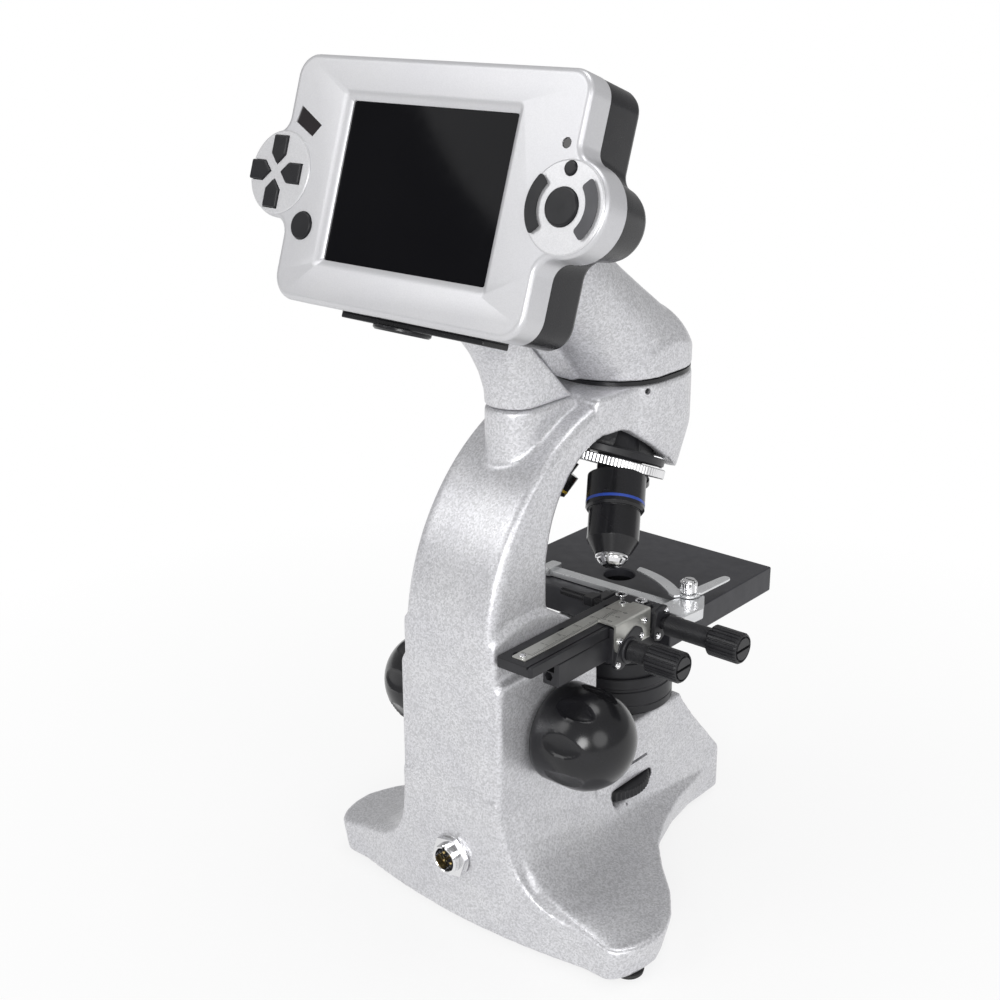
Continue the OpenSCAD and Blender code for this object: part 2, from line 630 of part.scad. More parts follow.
module condenser_housing() color(black) on_axis() difference() {
    union() {
        translate([0, 0, 72.4]) cylinder(r = 21.9, h = 11);
        translate([0, 0, 82]) cylinder(r = 20.4, h = 3.7);
        translate([0, 0, 85]) cylinder(r = 18.8, h = 20);
        translate([0, 0, 91.9]) cylinder(r = 20.6, h = 2);
    }
    translate([0, 0, 60]) cylinder(r = 15.5, h = 28);
    translate([0, 0, 60]) cylinder(r = 5, h = 40);
    translate([0, 0, 88.6]) cylinder(r = 15.5, h = 7.4);
    translate([0, 0, 90]) cylinder(r = 13.5, h = 20);
    translate([0, 0, 98]) cylinder(r = 14.35, h = 20);
}

// Knurled ring that opens the diaphragm
module iris_ring() color(black) on_axis() translate([0, 0, 86]) difference() {
    union() {
        cylinder(r = 22.8, h = 5.6);
        translate([-1.5, 20, 1.6]) cube([3, 7.5, 2.4]);
    }
    translate([0, 0, -1]) cylinder(r = 18.8 + slack, h = 8);
    for (a = [0:10:350]) rotate([0, 0, a + 5]) translate([23.2, 0, -1]) cylinder(r = 0.7, h = 8, $fn = 8);
}

module condenser_lens() color([0.8, 0.9, 0.95, 0.5]) on_axis() translate([0, 0, 98.02]) intersection() {
    cylinder(r = 15.4, h = 7);
    translate([0, 0, -14]) sphere(r = 20);
}

module y_guide() color(black) on_axis() difference() {
    union() {
        translate([guide_x0, guide_near, guide_low]) cube([bar_x1 - guide_x0, guide_far - guide_near, 115 - guide_low - 0.2]);
        // foot that carries the guide on the stage
        translate([guide_x0, guide_far - 12, stage_low + 0.5]) cube([bar_x1 - guide_x0, 12 + stage_near - guide_far, 7]);
        // knob bearing and cheek
        translate([bar_x1 - 1, y_axis[0] - 8.5, 104.5]) cube([3.4, 16, 10.3]);
        translate([bar_x1 + 0.3, y_axis[0] - 8.5, 104.5]) cube([2.1, 16, 14.2]);
        translate([0, y_axis[0], y_axis[1]]) translate([bar_x1, 0, 0]) rotate([0, 90, 0]) cylinder(r = 5.2, h = 4.4);
    }
    // groove of the rack
    translate([33.6, -110, 111]) cube([3.4, 100, 10]);
    translate([33.4, y_axis[0], y_axis[1]]) rotate([0, 90, 0]) cylinder(r = y_pinion_r + 1, h = 3.8);
    translate([33.4, y_axis[0] - y_pinion_r - 1, y_axis[1]]) cube([3.8, 2 * y_pinion_r + 2, 8]);
    translate([33.4, y_axis[0], y_axis[1]]) rotate([0, 90, 0]) cylinder(r = 2 + slack, h = 20);
}

module vernier_bracket() color(chrome) on_axis() difference() {
    union() {
        translate([33.9, -60, bar_z + 0.7]) cube([bar_x1 + 3.3 - 33.9, 22, 0.8]);
        translate([bar_x1 + 2.5, -60, 108.4]) cube([0.8, 22, bar_z + 1.5 - 108.4]);
    }
    translate([35, y_axis[0], y_axis[1]]) rotate([0, 90, 0]) cylinder(r = 5.5, h = 10);
}

module guide_screws() color(chrome) {
    for (p = [[-58, 112], [-43, 116]]) along_x(p[0], p[1], bar_x1 + 3.31) cylinder(r = 1.2, h = 1);
    for (y = [-45.5, -58.7]) along_x(y, 106.2, bar_x1 + 2.41) cylinder(r = 1, h = 1);
}

module y_slide_plate() color(black) on_axis() {
    translate([bar_x0, bar_near, bar_z - bar_t]) cube([bar_x1 - bar_x0, bar_far - bar_near, bar_t]);
    translate([35.3, y_axis[0] - 4 * PI * gear_m, y_axis[1] + y_pinion_r])
        side_profile(3) rotate(-90) rack_teeth(18, 115.1 - y_axis[1] - y_pinion_r);
}

module y_ruler() color(chrome) on_axis() difference() {
    translate([27.6, -102, bar_z + 0.02]) cube([6.1, 64, 0.5]);
    for (i = [0:50]) translate([32.7 - (i % 5 == 0 ? 1 : 0), -98 + i, bar_z + 0.42]) cube([2.2, 0.25, 1]);
}

cross_y = [-37, -28.4];

module cross_block() color(black) on_axis() difference() {
    union() {
        translate([bar_x0 + 0.5, cross_y[0], stage_z + 0.4]) cube([19, cross_y[1] - cross_y[0], bar_z - bar_t - stage_z - 0.45]);
        translate([bar_x1 + 0.2, cross_y[0], stage_z + 0.4]) cube([3.6, cross_y[1] - cross_y[0], 7]);
    }
    translate([0, x_axis[0], x_axis[1]]) rotate([0, 90, 0]) cylinder(r = screw_r + slack, h = 60);
}

module slide_screws() color(chrome) on_axis() {
    for (x = [25.2, 35.2]) translate([x, -34, bar_z]) cylinder(r = 2.3, h = 1.1);
    for (y = [-99, -42.2]) translate([28.9, y, bar_z + 0.54]) cylinder(r = 1.2, h = 0.8);
    along_x(-35.2, 116.6, bar_x1 + 3.8) cylinder(r = 1.1, h = 1.5);
}

module knurled_knob(x0, x1, r) translate([0, 0, x0]) difference() {
    cylinder(r = r, h = x1 - x0);
    for (a = [0:20:340]) rotate([0, 0, a]) translate([r + 0.35, 0, -1]) cylinder(r = 0.7, h = x1 - x0, $fn = 8);
    translate([-0.7, -r + 1.2, x1 - x0 - 1.6]) cube([1.4, 2 * r - 2.4, 3]);
}

module y_knob() color(black) along_x(y_axis[0], y_axis[1], 0) {
    translate([0, 0, 43.8]) cylinder(r = shaft_r, h = 9.4);
    knurled_knob(52.5, 67, 5.9);
    translate([0, 0, 33.8]) cylinder(r = 2, h = 12);
    translate([0, 0, 33.8]) pinion(10, 3);
}

module x_knob() color(black) along_x(x_axis[0], x_axis[1], 0) {
    translate([0, 0, 43.2]) cylinder(r = 2.1, h = 6);
    translate([0, 0, 48]) cylinder(r = shaft_r, h = 19);
    knurled_knob(66.6, 80, 5.9);
    translate([0, 0, -4]) cylinder(r = screw_r, h = 48);
}

holder_z = stage_z + 0.3;
nut_xy = [39.5, -8.8];
block_h = 4.6;      // block that carries the finger
finger_z = holder_z + block_h + 0.25;
finger_t = 0.9;

module specimen_holder() color(chrome) on_axis() difference() {
    union() {
        translate([-24.6, -20, holder_z]) cube([64, 5.4, 2.2]);
        translate([37, -27, holder_z]) cube([13.5, 12.5, block_h]);
        translate([0, 0, holder_z]) linear_extrude(block_h) polygon([[37, -15], [50.5, -15], [46, -4.5], [37, -4.5]]);
        translate([-24.6, -20, holder_z]) cube([2.4, 12, 2.2]);
        // lug on the lead screw
        translate([8, -35, holder_z + 0.1]) cube([4.5, 20, 1.4]);
        translate([8, -35, holder_z + 0.1]) cube([4.5, 6, bar_z - bar_t - holder_z - 0.4]);
    }
    translate([0, x_axis[0], x_axis[1]]) rotate([0, 90, 0]) cylinder(r = screw_r + slack, h = 60, center = true);
    translate([nut_xy[0], nut_xy[1], 100]) cylinder(r = 1.5 + slack, h = 30);
}

// Sickle that presses the slide against the holder, with its finger lever
module clip_finger() color(chrome) on_axis() difference() {
    translate([0, 0, finger_z]) {
        linear_extrude(finger_t) polygon(concat(arc([8, -45.4], [45.4, 45.4], 87, 54, 9), [[38, -9.5], [39.5, -13],
            [37.5, -16]], arc([-2.6, -62.3], [60.4, 60.4], 52, 77, 9)));
        translate([nut_xy[0], nut_xy[1], 0]) cylinder(r = 4.6, h = finger_t);
        linear_extrude(finger_t) polygon([[39, -6], [44.6, -9], [45.4, 10.8], [44.2, 13.4], [42, 13.4], [41.3, 11]]);
    }
    translate([nut_xy[0], nut_xy[1], 100]) cylinder(r = 1.5 + slack, h = 30);
}

module thumb_nut() color(chrome) on_axis() translate([nut_xy[0], nut_xy[1], 0]) {
    translate([0, 0, finger_z + finger_t + 0.05]) cylinder(r = 3.4, h = 5);
    translate([0, 0, holder_z + 1]) cylinder(r = 1.5, h = 6);
}

base_arm();
base_cover();
rubber_feet();
cover_screws();
power_jack();
head_set_screw();
light_board();
collector_lens();
lamp_collar();
dimmer_wheel();
nose_mount();
detent_spring();
seam_ring();
head_casting();
prism();
camera_module();
lcd_rear_shell();
lcd_bezel();
lcd_glass();
lcd_panel();
main_board();
battery_pack();
battery_cover();
shell_screws();
signal_windows();
key_up();
key_down();
key_left();
key_right();
key_ok();
key_menu();
key_mode();
key_snap();
key_power();
focus_shaft();
focus_knob_right();
focus_knob_left();
stage_slide();
focus_rack();
stage_plate();
condenser_housing();
condenser_lens();
iris_ring();
y_guide();
vernier_bracket();
guide_screws();
y_slide_plate();
y_ruler();
cross_block();
slide_screws();
y_knob();
x_knob();
specimen_holder();
clip_finger();
thumb_nut();
turret_body();
turret_ring();
objective_4x();
objective_10x();
objective_40x();
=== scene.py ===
import json
import math

import bmesh
import bpy
from mathutils import Matrix, Vector


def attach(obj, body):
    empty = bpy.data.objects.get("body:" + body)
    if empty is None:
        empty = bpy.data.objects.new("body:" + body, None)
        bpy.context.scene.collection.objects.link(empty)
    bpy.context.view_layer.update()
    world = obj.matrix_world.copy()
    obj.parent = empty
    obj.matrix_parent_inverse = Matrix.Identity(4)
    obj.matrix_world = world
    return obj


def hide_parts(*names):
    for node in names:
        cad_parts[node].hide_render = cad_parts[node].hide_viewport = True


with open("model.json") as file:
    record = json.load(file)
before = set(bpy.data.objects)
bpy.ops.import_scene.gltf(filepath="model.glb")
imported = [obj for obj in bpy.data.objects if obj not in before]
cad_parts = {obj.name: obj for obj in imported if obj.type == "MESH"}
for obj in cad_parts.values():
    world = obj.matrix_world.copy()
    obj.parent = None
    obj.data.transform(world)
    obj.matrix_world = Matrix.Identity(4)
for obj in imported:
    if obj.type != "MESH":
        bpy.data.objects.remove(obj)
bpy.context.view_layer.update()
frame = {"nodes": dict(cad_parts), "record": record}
nodes = frame["nodes"]

# Lengths are in millimetres, from the optical axis at the height of the datum,
# until piece() moves them to the frame.
OPTIC_Y = 42.0
DATUM_Z = 4.4
FLOOR_Z = -2.4
SEAM_Z = 198.8
BAR_X0, BAR_X1, BAR_Z = 22.9, 38.9, 119.0
STAGE_Z = 110.4
HOLDER_Z = 110.7


def T(x, y, z):
    return Matrix.Translation((x, y, z))


def R(deg, axis):
    return Matrix.Rotation(math.radians(deg), 4, axis)


ROW = Matrix.Scale(0.001, 4) @ T(0, OPTIC_Y, DATUM_Z)
SCREEN = T(0, -115.1, 280.3) @ R(71.2, "X")
TURRET = T(0, -14.6, 162) @ R(-23, "X")
ALONG_X = R(90, "Y")
BACK = R(90, "X")
# Turns an outline drawn as (y, z) to face along x
CROSS = Matrix(((0, 0, 1, 0), (1, 0, 0, 0), (0, 1, 0, 0), (0, 0, 0, 1)))
# [y, z] of the near and far knobs' shafts and of the focus shaft
NEAR_AXIS, FAR_AXIS, FOCUS_AXIS = (-51.8, 108), (-32.8, 112.7), (-72.7, 78.3)
NEAR_SHAFT, FAR_SHAFT = T(0, *NEAR_AXIS) @ ALONG_X, T(0, *FAR_AXIS) @ ALONG_X
DIMMER = (6.5, -18.5)


def seat(phi):
    return TURRET @ R(-phi, "Z") @ T(0, 15.85, 0) @ R(23, "X") @ R(180, "X")


# ------------------------------------------------------------ mesh tools

def fillet(pts, radius, steps=4, closed=False):
    """The polyline with each corner turned into an arc."""
    pts = [Vector(p) for p in pts]
    out = []
    n = len(pts)
    for i, p in enumerate(pts):
        if not closed and i in (0, n - 1):
            out.append(tuple(p))
            continue
        a, b = pts[i - 1] - p, pts[(i + 1) % n] - p
        la, lb = a.length, b.length
        if la < 1e-6 or lb < 1e-6:
            out.append(tuple(p))
            continue
        a, b = a / la, b / lb
        cosine = max(-1, min(1, a.dot(b)))
        half = math.acos(cosine) / 2
        if half > math.radians(87):
            out.append(tuple(p))
            continue
        cut = min(radius / math.tan(half), 0.45 * la, 0.45 * lb)
        r = cut * math.tan(half)
        centre = p + (a + b).normalized() * (r / math.sin(half))
        start, end = p + a * cut - centre, p + b * cut - centre
        for k in range(steps + 1):
            v = start.lerp(end, k / steps)
            out.append(tuple(centre + v.normalized() * r))
    return out


def cosd(deg):
    return math.cos(math.radians(deg))


def sind(deg):
    return math.sin(math.radians(deg))


def arc(cx, cy, r, a0, a1, n=16):
    return [(cx + r * cosd(a0 + (a1 - a0) * i / n),
             cy + r * sind(a0 + (a1 - a0) * i / n)) for i in range(n + 1)]


def lathe(profile, seg=96, radius=0.25, closed=False, wave=None):
    """Turned solid about Z from (radius, height) points. wave(angle, r, z) may change a radius."""
    pts = fillet(profile, radius, 3, closed) if radius else profile
    bm = bmesh.new()
    rings = []
    for r, z in pts:
        if r < 1e-5:
            rings.append([bm.verts.new((0, 0, z))])
            continue
        ring = []
        for i in range(seg):
            a = 2 * math.pi * i / seg
            q = wave(a, r, z) if wave else r
            ring.append(bm.verts.new((q * math.cos(a), q * math.sin(a), z)))
        rings.append(ring)
    pairs = list(zip(rings, rings[1:]))
    if closed:
        pairs.append((rings[-1], rings[0]))
    for a, b in pairs:
        for i in range(seg):
            j = (i + 1) % seg
            if len(a) == 1 and len(b) == 1:
                continue
            if len(a) == 1:
                bm.faces.new((a[0], b[j], b[i]))
            elif len(b) == 1:
                bm.faces.new((a[i], a[j], b[0]))
            else:
                bm.faces.new((a[i], a[j], b[j], b[i]))
    bmesh.ops.recalc_face_normals(bm, faces=bm.faces)
    return bm


def slab(outline, z0, z1):
    """Solid between two heights with that outline."""
    bm = bmesh.new()
    low = [bm.verts.new((x, y, z0)) for x, y in outline]
    high = [bm.verts.new((x, y, z1)) for x, y in outline]
    bm.faces.new(low)
    bm.faces.new(high)
    for i in range(len(outline)):
        j = (i + 1) % len(outline)
        bm.faces.new((low[i], low[j], high[j], high[i]))
    bmesh.ops.recalc_face_normals(bm, faces=bm.faces)
    return bm


def block(x0, y0, z0, x1, y1, z1):
    return slab([(x0, y0), (x1, y0), (x1, y1), (x0, y1)], z0, z1)


def side(outline, half_width):
    """Solid with a (y, z) outline, from -half_width to half_width along x."""
    bm = slab(outline, -half_width, half_width)
    bm.transform(CROSS)
    bmesh.ops.recalc_face_normals(bm, faces=bm.faces)
    return bm


def stack(levels):
    """Closed skin through outlines at heights: [(outline, z), ...], all with the same number of points."""
    bm = bmesh.new()
    rings = [[bm.verts.new((x, y, z)) for x, y in o] for o, z in levels]
    for a, b in zip(rings, rings[1:]):
        for i in range(len(a)):
            j = (i + 1) % len(a)
            bm.faces.new((a[i], a[j], b[j], b[i]))
    bm.faces.new(rings[0])
    bm.faces.new(rings[-1])
    bmesh.ops.recalc_face_normals(bm, faces=bm.faces)
    return bm


def rod(r, z0, z1, seg=48, radius=0.0):
    return lathe([(0, z0), (r, z0), (r, z1), (0, z1)], seg, radius)


def rod_x(r, x0, x1, y, z, seg=48):
    return moved(rod(r, x0, x1, seg), T(0, y, z) @ ALONG_X)


def moved(bm, m):
    bm.transform(m)
    return bm


def joined(parts):
    bm = bmesh.new()
    for p in parts:
        me = bpy.data.meshes.new("part")
        p.to_mesh(me)
        p.free()
        bm.from_mesh(me)
        bpy.data.meshes.remove(me)
    return bm


def bevelled(bm, width, segs=3, angle=28):
    bmesh.ops.remove_doubles(bm, verts=bm.verts, dist=1e-4)
    bmesh.ops.recalc_face_normals(bm, faces=bm.faces)
    limit = math.radians(angle)
    edges = [e for e in bm.edges if len(e.link_faces) == 2 and e.calc_face_angle(0) > limit]
    if edges:
        bmesh.ops.bevel(bm, geom=edges, offset=width, offset_type="OFFSET", segments=segs, profile=0.5,
                        affect="EDGES", clamp_overlap=True)
    return bm


def as_object(bm, name="work"):
    me = bpy.data.meshes.new(name)
    bm.to_mesh(me)
    bm.free()
    ob = bpy.data.objects.new(name, me)
    bpy.context.scene.collection.objects.link(ob)
    return ob


def evaluated(ob):
    """The object's mesh with its modifiers, as a new bmesh. The object is removed."""
    bpy.context.view_layer.update()
    me = bpy.data.meshes.new_from_object(ob.evaluated_get(bpy.context.evaluated_depsgraph_get()))
    bm = bmesh.new()
    bm.from_mesh(me)
    bpy.data.meshes.remove(me)
    old = ob.data
    bpy.data.objects.remove(ob)
    bpy.data.meshes.remove(old)
    return bm


def boolean(bm, tools, how="DIFFERENCE", self_cut=True):
    a, b = as_object(bm), as_object(joined(tools))
    mod = a.modifiers.new("cut", "BOOLEAN")
    mod.operation, mod.solver, mod.object, mod.use_self = how, "EXACT", b, self_cut
    out = evaluated(a)
    old = b.data
    bpy.data.objects.remove(b)
    bpy.data.meshes.remove(old)
    return out


def carved(parts, tools):
    return [boolean(p, [t.copy() for t in tools]) for p in parts]


def remeshed(bm, voxel, smooth):
    ob = as_object(bm)
    mod = ob.modifiers.new("voxel", "REMESH")
    mod.mode, mod.voxel_size, mod.adaptivity = "VOXEL", voxel, 0.0
    out = evaluated(ob)
    for _ in range(smooth):
        bmesh.ops.smooth_vert(out, verts=out.verts, factor=0.5, use_axis_x=True, use_axis_y=True,
                              use_axis_z=True)
    return out


def piece(name, bm, mat, body, replaces=(), place=None, sharp=32, weighted=True):
    bmesh.ops.recalc_face_normals(bm, faces=bm.faces)
    bm.transform(ROW @ (place or Matrix()))
    me = bpy.data.meshes.new(name)
    bm.to_mesh(me)
    bm.free()
    me.materials.append(mat)
    me.shade_smooth()
    me.set_sharp_from_angle(angle=math.radians(sharp))
    ob = bpy.data.objects.new(name, me)
    bpy.context.scene.collection.objects.link(ob)
    if weighted:
        mod = ob.modifiers.new("normals", "WEIGHTED_NORMAL")
        mod.keep_sharp, mod.weight = True, 60
    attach(ob, body)
    if replaces:
        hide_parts(*([replaces] if isinstance(replaces, str) else replaces))
    return ob


# ------------------------------------------------------------- materials

TINT_DETAIL, ROUGH_DETAIL, BUMP_DETAIL = 3.0, 3.0, 2.0
ROUGH_SCALE = 200.0


def material(name, color, rough, metal=0.0, coat=0.0, coat_rough=0.1, spec=0.5, tint=None, rough_var=0.0,
             bump=None, stretch=(1, 1, 1), transmission=0.0, ior=1.5, flake=None):
    """Surface with tint (second colour, scale), flake (strength, scale) and bump (strength, scale, mm)."""
    m = bpy.data.materials.new(name)
    m.use_nodes = True
    nt = m.node_tree
    bsdf = nt.nodes["Principled BSDF"]
    bsdf.inputs["Base Color"].default_value = (*color, 1)
    bsdf.inputs["Roughness"].default_value = rough
    bsdf.inputs["Metallic"].default_value = metal
    bsdf.inputs["Coat Weight"].default_value = coat
    bsdf.inputs["Coat Roughness"].default_value = coat_rough
    bsdf.inputs["Specular IOR Level"].default_value = spec
    bsdf.inputs["Transmission Weight"].default_value = transmission
    bsdf.inputs["IOR"].default_value = ior
    coords = nt.nodes.new("ShaderNodeTexCoord")
    mapping = nt.nodes.new("ShaderNodeMapping")
    mapping.inputs["Scale"].default_value = stretch
    nt.links.new(coords.outputs["Object"], mapping.inputs["Vector"])

    def noise(scale, detail):
        n = nt.nodes.new("ShaderNodeTexNoise")
        n.inputs["Scale"].default_value = scale
        n.inputs["Detail"].default_value = detail
        nt.links.new(mapping.outputs["Vector"], n.inputs["Vector"])
        return n

    colour_out = None
    if tint:
        second, scale = tint
        n = noise(scale, TINT_DETAIL)
        ramp = nt.nodes.new("ShaderNodeValToRGB")
        ramp.color_ramp.elements[0].position, ramp.color_ramp.elements[1].position = 0.32, 0.68
        ramp.color_ramp.elements[0].color = (*second, 1)
        ramp.color_ramp.elements[1].color = (*color, 1)
        nt.links.new(n.outputs["Fac"], ramp.inputs["Fac"])
        colour_out = ramp.outputs["Color"]
    if flake:
        v = nt.nodes.new("ShaderNodeTexVoronoi")
        strength, v.inputs["Scale"].default_value = flake
        nt.links.new(mapping.outputs["Vector"], v.inputs["Vector"])
        grey = nt.nodes.new("ShaderNodeRGBToBW")
        nt.links.new(v.outputs["Color"], grey.inputs["Color"])
        ramp = nt.nodes.new("ShaderNodeMapRange")
        ramp.inputs["From Min"].default_value, ramp.inputs["From Max"].default_value = 0.2, 0.8
        ramp.inputs["To Min"].default_value, ramp.inputs["To Max"].default_value = 1 - strength, 1 + strength
        nt.links.new(grey.outputs["Val"], ramp.inputs["Value"])
        mul = nt.nodes.new("ShaderNodeMix")
        mul.data_type, mul.blend_type = "RGBA", "MULTIPLY"
        mul.inputs["Factor"].default_value = 1
        if colour_out:
            nt.links.new(colour_out, mul.inputs["A"])
        else:
            mul.inputs["A"].default_value = (*color, 1)
        nt.links.new(ramp.outputs["Result"], mul.inputs["B"])
        colour_out = mul.outputs["Result"]
    if colour_out:
        nt.links.new(colour_out, bsdf.inputs["Base Color"])
    if rough_var:
        n = noise(ROUGH_SCALE, ROUGH_DETAIL)
        mr = nt.nodes.new("ShaderNodeMapRange")
        mr.inputs["To Min"].default_value = max(0.02, rough - rough_var)
        mr.inputs["To Max"].default_value = rough + rough_var
        mr.inputs["From Min"].default_value, mr.inputs["From Max"].default_value = 0.3, 0.7
        nt.links.new(n.outputs["Fac"], mr.inputs["Value"])
        nt.links.new(mr.outputs["Result"], bsdf.inputs["Roughness"])
    if bump:
        strength, scale, depth = bump
        n = noise(scale, BUMP_DETAIL)
        b = nt.nodes.new("ShaderNodeBump")
        b.inputs["Strength"].default_value = strength
        b.inputs["Distance"].default_value = depth / 1000
        nt.links.new(n.outputs["Fac"], b.inputs["Height"])
        nt.links.new(b.outputs["Normal"], bsdf.inputs["Normal"])
    return m


PAINT = material("silver_paint", (0.63, 0.63, 0.65), 0.38, 0.55, tint=((0.59, 0.59, 0.615), 60),
                 flake=(0.17, 1700), bump=(0.6, 1500, 0.07), coat=0.2, coat_rough=0.22)
BEZEL = material("bezel_paint", (0.57, 0.57, 0.585), 0.36, 0.45, tint=((0.55, 0.55, 0.57), 40),
                 flake=(0.03, 3500), bump=(0.15, 3000, 0.02))
DISC = material("disc_paint", (0.60, 0.60, 0.615), 0.36, 0.45, flake=(0.05, 3000), bump=(0.2, 2600, 0.02),
                tint=((0.57, 0.57, 0.585), 50))
SATIN_BLACK = material("satin_black", (0.022, 0.022, 0.025), 0.38, tint=((0.016, 0.016, 0.018), 120),
                       rough_var=0.05, bump=(0.25, 2200, 0.02), spec=0.3)
STAGE_BLACK = material("stage_black", (0.032, 0.032, 0.038), 0.42, tint=((0.027, 0.027, 0.032), 90),
                       rough_var=0.05, bump=(0.3, 2600, 0.02), spec=0.4)
GLOSS_BLACK = material("gloss_black", (0.012, 0.012, 0.014), 0.2, tint=((0.009, 0.009, 0.01), 90),
                       rough_var=0.03, bump=(0.1, 500, 0.01), spec=0.4)
SHELL_BLACK = material("shell_black", (0.014, 0.014, 0.016), 0.27, tint=((0.011, 0.011, 0.013), 80),
                       rough_var=0.04, bump=(0.15, 1800, 0.015), spec=0.35)
GRAIN_BLACK = material("grain_black", (0.03, 0.03, 0.033), 0.45, tint=((0.02, 0.02, 0.022), 300),
                       bump=(0.9, 900, 0.25), rough_var=0.08)
KNURL_BLACK = material("knurl_black", (0.02, 0.02, 0.022), 0.36, tint=((0.015, 0.015, 0.017), 200),
                       rough_var=0.05, bump=(0.2, 2000, 0.02), spec=0.3)
KEY_BLACK = material("key_black", (0.014, 0.014, 0.016), 0.32, tint=((0.011, 0.011, 0.013), 150),
                     rough_var=0.04, bump=(0.2, 2500, 0.015), spec=0.25)
KEY_GREY = material("key_grey", (0.06, 0.06, 0.066), 0.33, tint=((0.05, 0.05, 0.056), 150),
                    rough_var=0.04, bump=(0.2, 2500, 0.015), spec=0.35)
GLASS_BLACK = material("screen_glass", (0.004, 0.004, 0.005), 0.06, tint=((0.003, 0.003, 0.004), 20),
                       rough_var=0.01, bump=(0.02, 60, 0.01), spec=0.06)
CHROME = material("chrome", (0.80, 0.80, 0.81), 0.12, 1.0, tint=((0.74, 0.74, 0.75), 150), rough_var=0.04,
                  bump=(0.06, 500, 0.01))
STEEL = material("turned_steel", (0.66, 0.66, 0.67), 0.25, 1.0, tint=((0.58, 0.58, 0.59), 300),
                 rough_var=0.07, bump=(0.2, 900, 0.01))
SATIN = material("satin_silver", (0.78, 0.79, 0.80), 0.3, 0.85, tint=((0.70, 0.705, 0.72), 150),
                 rough_var=0.06, bump=(0.2, 1400, 0.015))
RULE = material("rule_steel", (0.60, 0.60, 0.565), 0.36, 0.8, tint=((0.53, 0.53, 0.50), 260),
                rough_var=0.06, bump=(0.25, 900, 0.01), stretch=(6, 1, 1))
INK = material("scale_ink", (0.02, 0.02, 0.02), 0.5, tint=((0.03, 0.03, 0.03), 400))
RUBBER = material("foot_rubber", (0.02, 0.02, 0.02), 0.75, tint=((0.028, 0.028, 0.028), 300),
                  bump=(0.5, 1200, 0.05))
BRASS = material("rack_brass", (0.62, 0.47, 0.2), 0.3, 1.0, tint=((0.52, 0.39, 0.17), 200),
                 rough_var=0.05, bump=(0.15, 900, 0.01))
LENS = material("lens_glass", (0.93, 0.96, 0.98), 0.03, transmission=1.0, tint=((0.9, 0.94, 0.97), 30),
                bump=(0.01, 50, 0.01), ior=1.5)
BOARD = material("board_green", (0.02, 0.14, 0.06), 0.35, tint=((0.03, 0.2, 0.08), 500), coat=0.3,
                 bump=(0.3, 700, 0.04))
WRAP = material("battery_wrap", (0.07, 0.1, 0.25), 0.35, tint=((0.06, 0.08, 0.2), 100),
                bump=(0.2, 200, 0.05))
SMOKE = material("smoke_window", (0.008, 0.006, 0.007), 0.1, tint=((0.012, 0.008, 0.01), 100),
                 bump=(0.02, 200, 0.01))
BLUE = material("ring_blue", (0.02, 0.06, 0.35), 0.35, tint=((0.02, 0.05, 0.28), 200),
                bump=(0.1, 800, 0.01))
RED = material("ring_red", (0.5, 0.02, 0.02), 0.35, tint=((0.4, 0.015, 0.015), 200),
               bump=(0.1, 800, 0.01))
YELLOW = material("ring_yellow", (0.6, 0.4, 0.03), 0.35, tint=((0.5, 0.34, 0.02), 200),
                  bump=(0.1, 800, 0.01))

SLOT_LOOK = {"silver_paint": PAINT, "black_metal": SATIN_BLACK, "gloss_black": GLOSS_BLACK,
             "black_plastic": SHELL_BLACK, "silver_plastic": BEZEL, "screen_glass": GLASS_BLACK,
             "panel_metal": STEEL, "green_board": BOARD, "battery_wrap": WRAP, "foot_rubber": RUBBER,
             "bright_steel": STEEL, "chrome_plate": CHROME, "satin_chrome": SATIN, "alu_machined": SATIN,
             "rack_brass": BRASS, "clear_glass": LENS, "smoke_window": SMOKE, "key_black": KEY_BLACK,
             "key_grey": KEY_GREY}
for sub in frame["record"]["subparts"]:
    look = SLOT_LOOK[sub["material_slot"]]
    ob = nodes[sub["node"]]
    ob.data.materials.clear()
    ob.data.materials.append(look)
    for f in ob.data.polygons:
        f.material_index = 0


# ---------------------------------------------------------- stand casting

# Half width of the apron's rim at distances along y, the fall of the flare from the wall (0) to
# the rim (1), and its share of that height at distances along y
RIM = [(-98, 60.5), (-97, 67.3), (-94.2, 71.6), (-89.3, 74.7), (-82.4, 76.5), (-74.2, 76.9), (-68, 74.9),
       (-61, 71.8), (-49, 63), (-37, 51), (-25, 41), (-9, 33.4), (8, 28), (21, 25.9), (35, 23.5), (47.5, 22)]
FLARE = [(0, 47), (0.038, 42), (0.1, 30), (0.16, 22.3), (0.21, 18.2), (0.257, 15.2), (0.35, 11.2),
         (0.47, 8.0), (0.66, 4.2), (0.8, 1.8), (0.92, 0.4), (1, 0)]
RIDGE = [(-106, 1), (-88, 0.87), (-70, 0.71), (-44, 0.51), (-10.7, 0.34), (14, 0.24), (30, 0.15), (48, 0.1)]
RIM_Z = 11.7


def lookup(table, v):
    if v <= table[0][0]:
        return table[0][1]
    for (a, fa), (b, fb) in zip(table, table[1:]):
        if v <= b:
            return fa + (fb - fa) * (v - a) / (b - a)
    return table[-1][1]


def wall_x(y):
    return 24.2 if y < -46 else 24.2 - 2.0 * min(1, (y + 46) / 30)


def rear_y(x, z):
    """Back of the base: leaning, and curved across near the floor."""
    bow = 4.9 * max(0, min(1, (60 - z) / 36)) if abs(x) < 26 else 4.9
    return -101.4 - (z + 2.4) * 0.082 + bow * (min(abs(x), 56) / 51.7) ** 2


